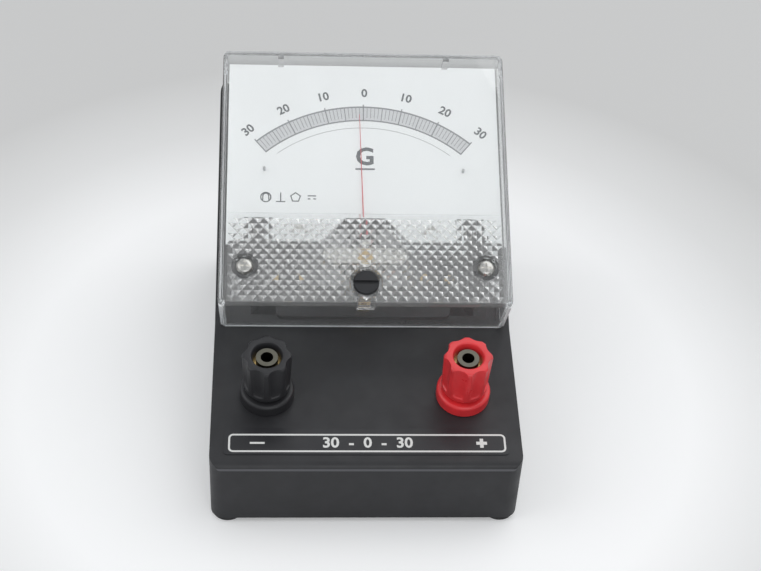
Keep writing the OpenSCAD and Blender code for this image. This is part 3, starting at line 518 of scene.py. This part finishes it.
def scale_marks(outer, band, low, high):
    """The scale's sixty-one marks, bars along the radius at equal angles: a ten stands past the band, a
    five crosses it, and the others take four fifths of it."""
    steps = np.arange(-30, 31)
    a = np.radians(steps * SCALE_HALF_ANGLE / 30)
    nil = np.zeros_like(a)
    radial, sideways = np.stack([np.sin(a), np.cos(a), nil], -1), np.stack([np.cos(a), -np.sin(a), nil], -1)
    tens, fives = steps % 10 == 0, steps % 5 == 0
    past = 0.8
    reach = np.where(tens, outer + past, outer)
    depth = np.where(tens, band + past, np.where(fives, band, band * 0.8))
    width = np.where(tens, 0.42, np.where(fives, 0.3, 0.2))
    middle = radial * (reach - depth / 2)[:, None] + [0, 0, (low + high) / 2]
    up = np.tile([0, 0, high - low], (len(a), 1))
    return bars(middle, radial * depth[:, None], sideways * width[:, None], up)


def sign_paths(v):
    """Strokes of four common signs in a row at height v: moving coil, upright use, test voltage, direct
    current."""
    return [arc((-33.2, v), 1.7), [(-34.2, v - 0.9), (-34.2, v + 0.5)],
            [(-32.2, v - 0.9), (-32.2, v + 0.5)], arc((-33.2, v + 0.4), 1.0, 0, 180, 9),
            [(-28.2, v - 1.6), (-28.2, v + 1.6)], [(-29.6, v - 1.6), (-26.8, v - 1.6)],
            arc((-23.2, v), 1.7, 90, 450, 6),
            [(-19.0, v + 0.6), (-16.4, v + 0.6)], [(-19.0, v - 0.5), (-18.3, v - 0.5)],
            [(-17.1, v - 0.5), (-16.4, v - 0.5)]]


# Materials

def mixed(tree, factor, first, second):
    """The output of a node that mixes two shaders by a factor."""
    node = tree.nodes.new("ShaderNodeMixShader")
    for source, target in zip((factor, first, second), node.inputs):
        tree.links.new(source, target)
    return node.outputs[0]


class Recipe:
    """A procedural material that is filled step by step, on the object's own coordinates in metres."""

    def __init__(self, name):
        self.material = bpy.data.materials.new(MATERIAL_PREFIX + name)
        self.material.use_nodes = True
        self.tree = self.material.node_tree
        self.tree.nodes.clear()
        self.output = self.add("ShaderNodeOutputMaterial")
        self.shader = self.add("ShaderNodeBsdfPrincipled")
        self.link(self.shader.outputs[0], self.output.inputs[0])
        self.place = self.add("ShaderNodeTexCoord").outputs["Object"]

    def link(self, source, target):
        """Joins two sockets."""
        self.tree.links.new(source, target)

    def fill(self, node, **values):
        """Gives each named socket of a node its value, or joins it to another node's output."""
        for key, value in values.items():
            socket = node.inputs[key.replace("_", " ")]
            if isinstance(value, bpy.types.NodeSocket):
                self.link(value, socket)
            else:
                socket.default_value = value
        return node

    def add(self, kind, **values):
        """A new node with its sockets filled."""
        return self.fill(self.tree.nodes.new(kind), **values)

    def set(self, **values):
        """Fills the shader's own sockets."""
        self.fill(self.shader, **values)
        return self

    def noise(self, size, detail=4.0, roughness=0.55, stretch=(1, 1, 1), turn=(0, 0, 0)):
        """Noise with features of about size millimetres, stretched and turned."""
        mapping = self.add("ShaderNodeMapping", Vector=self.place, Scale=stretch, Rotation=turn)
        noise = self.add("ShaderNodeTexNoise", Vector=mapping.outputs[0], Scale=1 / (size * MM),
                         Detail=detail, Roughness=roughness)
        return noise.outputs["Fac"]

    def waves(self, ridge, kind, axis, distortion, centre=(0, 0, 0)):
        """Waves whose ridges are ridge millimetres wide, as bands along an axis or as rings about it,
        turned with the dial's face."""
        mapping = self.add("ShaderNodeMapping", Vector=self.place, Location=centre, Rotation=FACE_TURN)
        mapping.vector_type = "TEXTURE"
        wave = self.add("ShaderNodeTexWave", Vector=mapping.outputs[0], Scale=0.05 * math.pi / (ridge * MM),
                        Distortion=distortion)
        wave.wave_type = kind
        setattr(wave, "bands_direction" if kind == "BANDS" else "rings_direction", axis)
        return wave.outputs["Fac"]

    def between(self, source, low, high, start=0.3, end=0.7):
        """A number from low to high as source goes from start to end."""
        return self.add("ShaderNodeMapRange", Value=source, From_Min=start, From_Max=end, To_Min=low,
                        To_Max=high).outputs[0]

    def length(self, vector):
        """The length of a vector."""
        node = self.add("ShaderNodeVectorMath", Vector=vector)
        node.operation = "LENGTH"
        return node.outputs["Value"]

    def colours(self, source, stops):
        """A colour from stops of (place, colour) along source, on the shader's base colour."""
        ramp = self.add("ShaderNodeValToRGB", Fac=source)
        marks = ramp.color_ramp.elements
        for mark, (place, colour) in ((marks[0], stops[0]), (marks[1], stops[-1])):
            mark.position, mark.color = place, (*colour, 1)
        for place, colour in stops[1:-1]:
            marks.new(place).color = (*colour, 1)
        return self.set(Base_Color=ramp.outputs[0])

    def rough(self, source, low, high):
        """Roughness that varies with source."""
        return self.set(Roughness=self.between(source, low, high))

    def rub(self, y, z, reach, colour):
        """A lighter line along x on the base colour, where y and z are within reach millimetres of a place:
        a painted highlight, standing for the light that a rounded edge catches."""
        mapping = self.add("ShaderNodeMapping", Vector=self.place, Scale=(0, 1, 1),
                           Location=(0, -y * MM, -z * MM))
        near = self.between(self.length(mapping.outputs[0]), 1, 0, reach * MM / 2, reach * MM)
        mix = self.add("ShaderNodeMix")
        mix.data_type = "RGBA"
        self.link(near, mix.inputs[0])
        self.link(self.shader.inputs["Base Color"].links[0].from_socket, mix.inputs[6])
        mix.inputs[7].default_value = (*colour, 1)
        return self.set(Base_Color=mix.outputs[2])

    def bump(self, height, strength, depth):
        """Relief of a depth in millimetres; a second call adds to the first."""
        node = self.add("ShaderNodeBump", Height=height, Strength=strength, Distance=depth * MM)
        before = self.shader.inputs["Normal"].links
        if before:
            self.link(before[0].from_socket, node.inputs["Normal"])
        return self.set(Normal=node.outputs[0])

    def swap_for(self, ray, other):
        """Puts another shader in the main one's place for one kind of ray."""
        is_ray = self.add("ShaderNodeLightPath").outputs[ray]
        self.link(mixed(self.tree, is_ray, self.shader.outputs[0], other.outputs[0]), self.output.inputs[0])


def shades(colour, less=0.85, more=1.15):
    """Two stops round a colour, darker and lighter."""
    colour = np.array(colour[:3])
    return [(0.3, tuple(colour * less)), (0.7, tuple(np.minimum(colour * more, 1)))]


def moulded(name, colour, grain=0.35, low=0.36, high=0.5, depth=0.02, highlight_line=None, **extra):
    """Moulded plastic: a fine spark-eroded grain, faint flow marks and patchy gloss, and perhaps a painted
    highlight line along an edge."""
    recipe = Recipe(name).set(**extra)
    recipe.colours(recipe.noise(9, 3), shades(colour, 0.88, 1.14))
    recipe.rough(recipe.noise(5, 4), low, high)
    recipe.bump(recipe.noise(grain, 2), 0.35, depth)
    recipe.bump(recipe.noise(14, 2), 0.12, 0.04)
    if highlight_line:
        recipe.rub(*highlight_line)


def clear_moulded(name, tint, haze, low, high):
    """Clear moulded styrene: it bends light, lets shadow rays through and has faint smudges in its gloss
    and a haze of fine scratches."""
    recipe = Recipe(name).set(Base_Color=(*tint, 1), Transmission_Weight=1 - haze, IOR=1.45,
                              Specular_IOR_Level=0.45)
    recipe.rough(recipe.noise(18, 3), low, high)
    recipe.bump(recipe.noise(30, 2), 0.12, 0.05)
    recipe.swap_for("Is Shadow Ray", recipe.add("ShaderNodeBsdfTransparent", Color=(0.97, 0.98, 0.98, 1)))


def plated(name, colour, low=0.16, high=0.3, tone=0.92):
    """Plated metal: bright, with fine handling marks."""
    recipe = Recipe(name).set(Metallic=1.0)
    recipe.colours(recipe.noise(3, 4), shades(colour, tone, 2 - tone))
    recipe.rough(recipe.noise(0.8, 5, stretch=(1, 6, 1)), low, high)
    recipe.bump(recipe.noise(0.25, 3, stretch=(1, 8, 1)), 0.12, 0.01)


def turned(name, colour, low=0.22, high=0.36):
    """Turned metal: fine tool rings about the coil's axis and a warm, slightly dulled skin."""
    recipe = Recipe(name).set(Metallic=1.0)
    recipe.colours(recipe.noise(2.5, 5), shades(colour, 0.8, 1.12))
    recipe.rough(recipe.noise(1.2, 4), low, high)
    recipe.bump(recipe.waves(0.14, "RINGS", "Z", 0.6, on_dial([0, 0, 10.0])), 0.25, 0.008)


def brushed(name, colour, stretch, low=0.28, high=0.45):
    """Sheet metal with a brushed grain along one direction of the dial's face."""
    recipe = Recipe(name).set(Metallic=1.0)
    recipe.colours(recipe.noise(6, 4, stretch=stretch, turn=FACE_TURN), shades(colour, 0.85, 1.1))
    recipe.rough(recipe.noise(0.5, 5, stretch=stretch, turn=FACE_TURN), low, high)
    recipe.bump(recipe.noise(0.12, 4, stretch=stretch, turn=FACE_TURN), 0.3, 0.01)


def cast_alloy(name, colour):
    """Cast magnet alloy: dark, coarse and dull, with lighter grains."""
    recipe = Recipe(name).set(Metallic=0.7)
    tones = ((0.25, 0.6), (0.55, 1.0), (0.8, 1.7))
    stops = [(place, tuple(np.array(colour) * tone)) for place, tone in tones]
    recipe.colours(recipe.noise(0.7, 6, 0.7), stops)
    recipe.rough(recipe.noise(1.5, 4), 0.5, 0.75)
    recipe.bump(recipe.noise(0.5, 6, 0.7), 0.6, 0.06)


def wound_wire(name, colour):
    """Fine enamelled wire in close turns."""
    recipe = Recipe(name).set(Metallic=0.85, Coat_Weight=0.6, Coat_Roughness=0.12)
    # the colour follows the turns: painted shade in the grooves between them and a painted highlight on
    # their crests
    wire = recipe.waves(0.12, "BANDS", "Y", 0.2)
    recipe.colours(wire, shades(colour, 0.55, 1.2))
    recipe.rough(recipe.noise(1, 3), 0.22, 0.36)
    recipe.bump(wire, 0.6, 0.03)


def painted(name, colour, gloss=0.42):
    """Paint on sheet metal: faint orange peel and the least of tone."""
    recipe = Recipe(name)
    recipe.colours(recipe.noise(25, 3), shades(colour, 0.985, 1.015))
    recipe.rough(recipe.noise(4, 3), gloss - 0.05, gloss + 0.05)
    recipe.bump(recipe.noise(0.9, 2), 0.06, 0.015)


def soft_rubber(name, colour, grain=0.5):
    """Rubber or wire insulation: dull, with a faint bloom."""
    recipe = Recipe(name)
    recipe.colours(recipe.noise(2.5, 4), shades(colour, 0.75, 1.35))
    recipe.rough(recipe.noise(1.5, 3), 0.62, 0.8)
    recipe.bump(recipe.noise(grain, 3), 0.4, 0.03)


def printed(name, colour, patch=0.93):
    """Printing ink: slightly uneven cover and a dull edge."""
    recipe = Recipe(name)
    recipe.colours(recipe.noise(0.35, 3), shades(colour, patch, 2 - patch))
    recipe.rough(recipe.noise(0.8, 3), 0.5, 0.62)


def make_materials():
    """Makes every finish: one for each slot of the record, by its name, and those that only new pieces
    have."""
    tint = bpy.context.scene.galvanometer_colours
    moulded("black_plastic", tint.black, Specular_IOR_Level=0.5)
    # the base's front edge gets a painted highlight: a lighter line that stands for the light on its
    # rounding
    moulded("base_plastic", tint.black, highlight_line=(*PAINTED_HIGHLIGHT_YZ, 0.5, (0.11, 0.11, 0.12)),
            Specular_IOR_Level=0.5)
    clear_moulded("clear_plastic", tint.clear, 0.06, 0.0, 0.045)
    clear_moulded("facet_plastic", tint.clear, 0.04, 0.05, 0.11)
    # pale white that paints the light on the cover's lower edge and front corners
    moulded("painted_light_white", (0.8, 0.82, 0.84), 0.5, 0.5, 0.7)
    moulded("red_plastic", tint.red, 0.5, 0.26, 0.38, 0.012, Specular_IOR_Level=0.5, Coat_Weight=0.25,
            Coat_Roughness=0.2)
    moulded("cream_plastic", (0.72, 0.67, 0.55), 0.5, 0.4, 0.55)
    painted("white_dial", tint.dial)
    moulded("label_film", (0.02, 0.02, 0.023), 0.8, 0.3, 0.42, 0.01)
    painted("red_pointer", tint.pointer, 0.35)
    soft_rubber("rubber", (0.022, 0.022, 0.023))
    plated("nickel", (0.66, 0.65, 0.62))
    # dark nickel of the stems: partly a dull finish, partly painted shade for the shadow in the caps'
    # mouths
    plated("dull_and_shaded_nickel", (0.15, 0.145, 0.12), 0.26, 0.4)
    plated("steel", (0.5, 0.51, 0.52), 0.24, 0.4, 0.88)
    brushed("soft_iron", (0.36, 0.36, 0.37), (1, 9, 1))
    painted("black_lacquer", (0.03, 0.03, 0.032), 0.35)
    cast_alloy("magnet_alloy", (0.16, 0.16, 0.17))
    brushed("aluminium", (0.62, 0.63, 0.65), (9, 1, 1))
    turned("brass", (0.66, 0.47, 0.2))
    turned("bronze", (0.6, 0.38, 0.2), 0.18, 0.28)
    wound_wire("copper", (0.52, 0.21, 0.1))
    soft_rubber("red_wire", (0.5, 0.03, 0.03), 0.3)
    soft_rubber("black_wire", (0.02, 0.02, 0.02), 0.3)
    printed("dark_ink", tint.dark_ink)
    printed("grey_ink", tint.grey_ink, 0.96)
    printed("line_ink", (0.24, 0.25, 0.26))
    printed("white_ink", tint.white_ink)


def finish_of(name):
    """The finish of that name, which has a prefix to tell it from the CAD model's own material."""
    return bpy.data.materials[MATERIAL_PREFIX + name]


# Operators

class GALVANOMETER_OT_finishes(bpy.types.Operator):
    """Makes every material and puts it on the CAD nodes by their slots"""

    bl_idname = "galvanometer.finishes"
    bl_label = "Finishes"

    def execute(self, context):
        make_materials()
        slot_of = {row["node"]: row["material_slot"] for row in frame["record"]["subparts"]}
        for name, node in frame["nodes"].items():
            node.data.materials.clear()
            node.data.materials.append(finish_of(SURFACE_FINISH.get(name, slot_of[name])))
        return {"FINISHED"}


class GALVANOMETER_OT_base(bpy.types.Operator):
    """Base moulding, with its edges rounded between the side walls and the sloping top and at the back"""

    bl_idname = "galvanometer.base"
    bl_label = "Base"

    def execute(self, context):
        corner_x, corner_y, corner_r, deck_z, wall_rise = BASE_HALF_W - 4.5, 63.5, 4.4, 12, 0.3

        def outer_edges(middle, angle, n1, n2):
            """Edges of the top along the sides and round the corners, where just one face is a wall."""
            x, y, z = np.abs(middle[:, 0]), np.abs(middle[:, 1]), middle[:, 2]
            wall = (np.abs(n1[:, 2]) < wall_rise) != (np.abs(n2[:, 2]) < wall_rise)
            rim = (x > BASE_HALF_W - 5) & (z > deck_z)
            side = x > BASE_HALF_W - 0.01
            corner = (y > corner_y - 1) & (np.hypot(x - corner_x, y - corner_y) > corner_r)
            return (angle > 14) & wall & rim & (side | corner)

        softened("base_housing", "base_moulding", outer_edges, sizes()["base_edge"], 4, "base_plastic",
                 "case")
        return {"FINISHED"}


class GALVANOMETER_OT_cover(bpy.types.Operator):
    """Clear cover with rounded outer edges, a pale band at its foot and pale posts at its front corners as
    painted light, and the diamond facets under its face
    """

    bl_idname = "galvanometer.cover"
    bl_label = "Clear cover"

    def execute(self, context):
        s = sizes()

        def along(direction, points):
            """How far points in metres lie along a direction from where the face begins, in millimetres."""
            return (points - on_face([0, 0, 0])) @ direction / MM

        top = along(FACE_NORMAL, vertex_points(frame["nodes"]["front_cover"].data)).max()

        def outer_edges(middle, angle, n1, n2):
            """Edges of the outer face against the four walls, but not those of the screws' wells."""
            x, v = np.abs(middle[:, 0]), along(FACE_UP, middle * MM)
            outside = (x > COVER_EDGE_X) | (v < COVER_EDGE_V[0]) | (v > COVER_EDGE_V[1])
            well = np.hypot(x - WELL_X, v - WELL_V) < WELL_R - 0.1
            return (angle > 25) & (along(FACE_NORMAL, middle * MM) > top - 0.05) & outside & ~well

        softened("front_cover", "clear_cover", outer_edges, s["cover_edge"], 6, "clear_plastic", "case",
                 0)
        # the pale band round the cover's foot and the two posts at its front corners are painted light:
        # they stand for the light on the cover's lower edge and in its side walls
        half_w, head = 48.15, 92.2
        foot = rounded_band(half_w, 0.1, head, radius=2.1, width=1.3, low=0.03, high=0.5)
        post_x, post_v, post_level, post = 47.3, 1.25, 10.2, [1.3, 1.5, 19]
        painted_light_posts = plates([[x, post_v, post_level] for x in (-post_x, post_x)], [post, post])
        points, faces = joined([foot, painted_light_posts])
        make_piece("cover_foot", on_face(points), faces, "painted_light_white", "case")
        points, faces = facets(s)
        make_piece("cover_facets", on_face(points), faces, "facet_plastic", "case",
                   smooth=0)
        return {"FINISHED"}


class GALVANOMETER_OT_adjuster(bpy.types.Operator):
    """Zero adjuster and cover screws with broken edges"""

    bl_idname = "galvanometer.adjuster"
    bl_label = "Adjuster and screws"

    def execute(self, context):
        edge = sizes()["small_edge"]

        def sharp(middle, angle, n1, n2):
            """Every edge sharper than 35 degrees."""
            return angle > 35

        softened("zero_adjuster", "adjuster_knob", sharp, edge, 2, "black_plastic", "zero_adjuster")
        softened("cover_screws", "cover_screw_heads", sharp, edge, 2, "nickel", "case")
        return {"FINISHED"}


class GALVANOMETER_OT_pointer(bpy.types.Operator):
    """Pointer with its ridged blade, hub and three balance arms, turned to its rest place"""

    bl_idname = "galvanometer.pointer"
    bl_label = "Pointer"

    def execute(self, context):
        hub_profile = [[0.6, -0.4], [2.0, -0.4], [2.2, -0.2], [2.2, 0.2], [2.0, 0.4], [0.6, 0.4]]
        hub = lathe(np.array(hub_profile), segments=48)
        arm_from, arm_to, arm_r = 1.5, 8.6, 0.3
        arms = [rod_between([arm_from * x, arm_from * y, 0], [arm_to * x, arm_to * y, 0], arm_r)
                for x, y in ((0, 1), (-1, 0), (0, -1))]
        points, faces = joined([needle(POINTER_LEN), hub, *arms])
        points = spun(points, 90 + POINTER_REST) + [0, 0, DIAL_LEVEL + 1]
        make_piece("pointer_needle", on_dial(points), faces, "red_pointer", "moving_coil",
                   ["pointer"], 25)
        return {"FINISHED"}


class GALVANOMETER_OT_terminals(bpy.types.Operator):
    """Fluted caps and flanged collars of both terminals"""

    bl_idname = "galvanometer.terminals"
    bl_label = "Terminals"

    def execute(self, context):
        s = sizes()
        cap = lathe(cap_profile(), segments=384, radius_at=fluted(s["flutes"], s["flute_depth"]))
        collar = lathe(collar_profile(), segments=96)
        for side, colour in ((1, "red"), (-1, "black")):
            centre, finish = [side * POST_X, POST_V, 0], f"{colour}_plastic"
            make_piece(f"{colour}_screw_cap", on_panel(cap[0] + centre), cap[1], finish, f"{colour}_cap",
                       [f"{colour}_cap"], 40)
            make_piece(f"{colour}_base_collar", on_panel(collar[0] + centre), collar[1], finish, "case",
                       [f"{colour}_collar"], 40)
        return {"FINISHED"}


class GALVANOMETER_OT_dial(bpy.types.Operator):
    """Scale with its sixty divisions, figures and standard signs printed on the dial"""

    bl_idname = "galvanometer.dial"
    bl_label = "Dial printing"

    def execute(self, context):
        s = sizes()
        outer, band, ink, half = s["scale_radius"], s["scale_band"], s["ink_t"], SCALE_HALF_ANGLE
        inner, lined = outer - band, half + 0.2
        low, high = DIAL_LEVEL + ink / 2, DIAL_LEVEL + ink * 2
        figures = []
        for n in range(-30, 31, 10):
            angle, radius = n * half / 30, outer + FIGURE_GAP
            centre = (radius * math.sin(math.radians(angle)) + 0.4,
                      radius * math.cos(math.radians(angle)) + 0.2)
            figures.append(lettering(str(abs(n)), 4.2, centre, -angle, low, high))
        sign_x, sign_v, rule_v = 0.4, 37.7, 33.3
        sign = joined([lettering("G", 8.9, (sign_x, sign_v), 0, low, high),
                       plates([[sign_x, rule_v, (low + high) / 2]], [[6.6, 0.6, high - low]])])
        lines = joined([scale_marks(outer, band, low, high),
                        ring_sector(outer - 0.45, outer + 0.1, -lined, lined, low, high, steps=121),
                        ring_sector(inner - 0.1, inner + 0.4, -lined, lined, low, high, steps=121)])
        ground = ring_sector(inner, outer, -half, half, DIAL_LEVEL, DIAL_LEVEL + ink, steps=121)
        inner_arc = ring_sector(inner - 2.75, inner - 2.6, 3 - half, half - 3, low, high, steps=90)
        signs = strokes(sign_paths(SIGNS_V), 0.4, low, high)
        for name, finish, (points, faces) in (
                ("scale_band", "grey_ink", ground), ("scale_lines", "line_ink", lines),
                ("scale_figures", "dark_ink", joined(figures)), ("meter_sign", "dark_ink", sign),
                ("standard_signs", "dark_ink", signs), ("inner_arc", "line_ink", inner_arc)):
            make_piece(name, on_dial(points), faces, finish, "case")
        return {"FINISHED"}


class GALVANOMETER_OT_strip(bpy.types.Operator):
    """White outline, minus, plus and the span of the scale on the front strip"""

    bl_idname = "galvanometer.strip"
    bl_label = "Strip printing"

    def execute(self, context):
        low, high, bottom, top, half_w = 0.25, 0.28, 5.5, 12.4, 44.4
        middle, level, thick = (bottom + top) / 2, (low + high) / 2, high - low
        minus_x, plus_x, bar = -35.2, 36.6, 1.15
        signs = plates([[minus_x, middle, level], [plus_x, middle, level], [plus_x, middle + bar, level],
                        [plus_x, middle - bar, level]],
                       [[4.7, 0.7, thick], [3 * bar, bar, thick], [bar, bar, thick], [bar, bar, thick]])
        outline = rounded_band(half_w, bottom, top, radius=1.6, width=0.62, low=low, high=high)
        figures = lettering("30  -  0  -  30", 5.4, (0, middle), 0, low, high)
        points, faces = joined([outline, signs, figures])
        make_piece("strip_printing", on_panel(points + [0.3, 0, 0]), faces, "white_ink", "case")
        return {"FINISHED"}


class GALVANOMETER_OT_feet(bpy.types.Operator):
    """Four rubber feet with soft edges, below the corners"""

    bl_idname = "galvanometer.feet"
    bl_label = "Feet"

    def execute(self, context):
        steps = 64
        profile = np.concatenate([arc((4.6, 0.5), 0.5, -90, 0, 6), [[5.3, 1.4], [5.3, 2.0]]])
        foot = lathe(profile, steps)[0].reshape(-1, 3)
        count = len(profile)
        faces = grid_faces(steps, count, True, False).tolist()
        faces += [list(range(first, steps * count, count)) for first in (0, count - 1)]
        low, high = (np.array(corner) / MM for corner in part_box("rubber_feet"))
        points, faces = joined([(foot + [x, y, 0], faces) for x in (low[0] + FOOT_R, high[0] - FOOT_R)
                                for y in (low[1] + FOOT_R, high[1] - FOOT_R)])
        make_piece("soft_feet", points * MM, faces, "rubber", "case", ["rubber_feet"], 40)
        return {"FINISHED"}


class GALVANOMETER_OT_stage(bpy.types.Operator):
    """Pale floor, soft lamps, surround and the camera at the photograph's viewing angle"""

    bl_idname = "galvanometer.stage"
    bl_label = "Stage"

    def execute(self, context):
        self.floor()
        self.lamps()
        self.surround(context)
        self.camera(context)
        return {"FINISHED"}

    def floor(self):
        """A flat pale floor on a grid of x and y, white round the object and a little greyer farther
        out."""
        count = 13
        x, y = np.meshgrid(*[np.linspace(-FLOOR_REACH, FLOOR_REACH, count)] * 2, indexing="ij")
        points = np.stack([x, y, np.zeros_like(x)], axis=-1) * MM
        mesh = bpy.data.meshes.new("studio_floor")
        mesh.from_pydata(points.reshape(-1, 3).tolist(), [], grid_faces(count, count).tolist())
        recipe = Recipe("studio_paper").set(Specular_IOR_Level=0.15)
        far = recipe.between(recipe.length(recipe.place), 0, 1, 0.12, 0.21)
        recipe.colours(far, [(0, (0.88, 0.88, 0.88)), (0.5, (0.62, 0.62, 0.615)),
                             (1, (0.46, 0.458, 0.452))])
        recipe.rough(recipe.noise(3, 2), 0.7, 0.8)
        glow = recipe.add("ShaderNodeEmission", Strength=FLOOR_GLOW)
        both = recipe.add("ShaderNodeAddShader")
        recipe.link(recipe.shader.outputs[0], both.inputs[0])
        recipe.link(glow.outputs[0], both.inputs[1])
        recipe.swap_for("Is Camera Ray", both)
        mesh.materials.append(recipe.material)
        floor = new_object("studio_floor", mesh)

    def stand(self, thing, axes, place):
        """Puts a lamp or the camera at a place, with its own x, y and z along three axes."""
        rows = zip(np.stack(axes, axis=1), place)
        thing.matrix_world = Matrix([[*row, shift] for row, shift in rows] + [[0, 0, 0, 1]])

    def lamps(self):
        """Broad soft lamps, above at the right rear, left and front, that face the object."""
        for name, place, size, power in LAMPS:
            data = bpy.data.lights.new(name, "AREA")
            data.size, data.energy, data.color = size, power, (1, 1, 1)
            back = np.array(place) - np.array(LAMP_TARGET)
            back = back / np.linalg.norm(back)
            side = np.cross([0, 0, 1.0], back)
            side /= np.linalg.norm(side)
            self.stand(new_object(name, data), [side, np.cross(back, side), back], place)

    def surround(self, context):
        """A pale surround, a little bluer where it lights the object than where it is seen."""
        world = bpy.data.worlds.new("surround")
        context.scene.world = world
        world.use_nodes = True
        tree = world.node_tree
        tree.nodes.clear()
        shaders = []
        for colour in ((0.9, 0.93, 0.96, 1), (1, 1, 0.99, 1)):
            node = tree.nodes.new("ShaderNodeBackground")
            node.inputs[0].default_value, node.inputs[1].default_value = colour, SURROUND_STRENGTH
            shaders.append(node.outputs[0])
        path, either = tree.nodes.new("ShaderNodeLightPath"), tree.nodes.new("ShaderNodeMath")
        either.operation = "MAXIMUM"
        for ray, target in zip(("Is Camera Ray", "Is Transmission Ray"), either.inputs):
            tree.links.new(path.outputs[ray], target)
        output = tree.nodes.new("ShaderNodeOutputWorld")
        tree.links.new(mixed(tree, either.outputs[0], *shaders), output.inputs[0])

    def camera(self, context):
        """The camera looks down at the object and a little right, and is rolled a little."""
        pitch, yaw, roll = (math.radians(a) for a in CAMERA_ANGLES)
        forward = np.array([math.sin(yaw) * math.cos(pitch), math.cos(yaw) * math.cos(pitch),
                            -math.sin(pitch)])
        right = np.array([math.cos(yaw), -math.sin(yaw), 0])
        down = np.cross(forward, right)
        image_x = right * math.cos(roll) + down * math.sin(roll)
        image_y = down * math.cos(roll) - right * math.sin(roll)
        data = bpy.data.cameras.new("photograph_view")
        data.lens, data.sensor_width, data.sensor_fit = CAMERA_LENS, 36, "HORIZONTAL"
        data.clip_start, data.clip_end = 0.01, 20
        camera = new_object("photograph_view", data)
        self.stand(camera, [image_x, -image_y, -forward], CAMERA_PLACE)
        context.scene.camera = camera


class GALVANOMETER_PT_panel(bpy.types.Panel):
    """Sizes, colours and pieces of the galvanometer"""

    bl_idname = "GALVANOMETER_PT_panel"
    bl_label = "Galvanometer"
    bl_space_type = "VIEW_3D"
    bl_region_type = "UI"
    bl_category = "Galvanometer"

    def draw(self, context):
        for group in (context.scene.galvanometer_sizes, context.scene.galvanometer_colours):
            box = self.layout.box()
            for name in type(group).__annotations__:
                box.prop(group, name)
        for operator in OPERATORS:
            self.layout.operator(operator.bl_idname)


OPERATORS = (GALVANOMETER_OT_finishes, GALVANOMETER_OT_base, GALVANOMETER_OT_cover,
             GALVANOMETER_OT_adjuster, GALVANOMETER_OT_pointer, GALVANOMETER_OT_terminals,
             GALVANOMETER_OT_dial, GALVANOMETER_OT_strip, GALVANOMETER_OT_feet, GALVANOMETER_OT_stage)
CLASSES = (GalvanometerSizes, GalvanometerColours, *OPERATORS, GALVANOMETER_PT_panel)


def register():
    """Registers the classes and hangs the two groups of values on the scene."""
    for kind in CLASSES:
        bpy.utils.register_class(kind)
    bpy.types.Scene.galvanometer_sizes = PointerProperty(type=GalvanometerSizes)
    bpy.types.Scene.galvanometer_colours = PointerProperty(type=GalvanometerColours)


def unregister():
    """Takes the groups and the classes away again."""
    del bpy.types.Scene.galvanometer_colours
    del bpy.types.Scene.galvanometer_sizes
    for kind in reversed(CLASSES):
        bpy.utils.unregister_class(kind)


def main():
    """Makes every piece in order."""
    register()
    bpy.ops.galvanometer.finishes()
    bpy.ops.galvanometer.base()
    bpy.ops.galvanometer.cover()
    bpy.ops.galvanometer.adjuster()
    bpy.ops.galvanometer.pointer()
    bpy.ops.galvanometer.terminals()
    bpy.ops.galvanometer.dial()
    bpy.ops.galvanometer.strip()
    bpy.ops.galvanometer.feet()
    bpy.ops.galvanometer.stage()
    bpy.context.scene.view_settings.view_transform = "Standard"


if __name__ == "__main__":
    main()
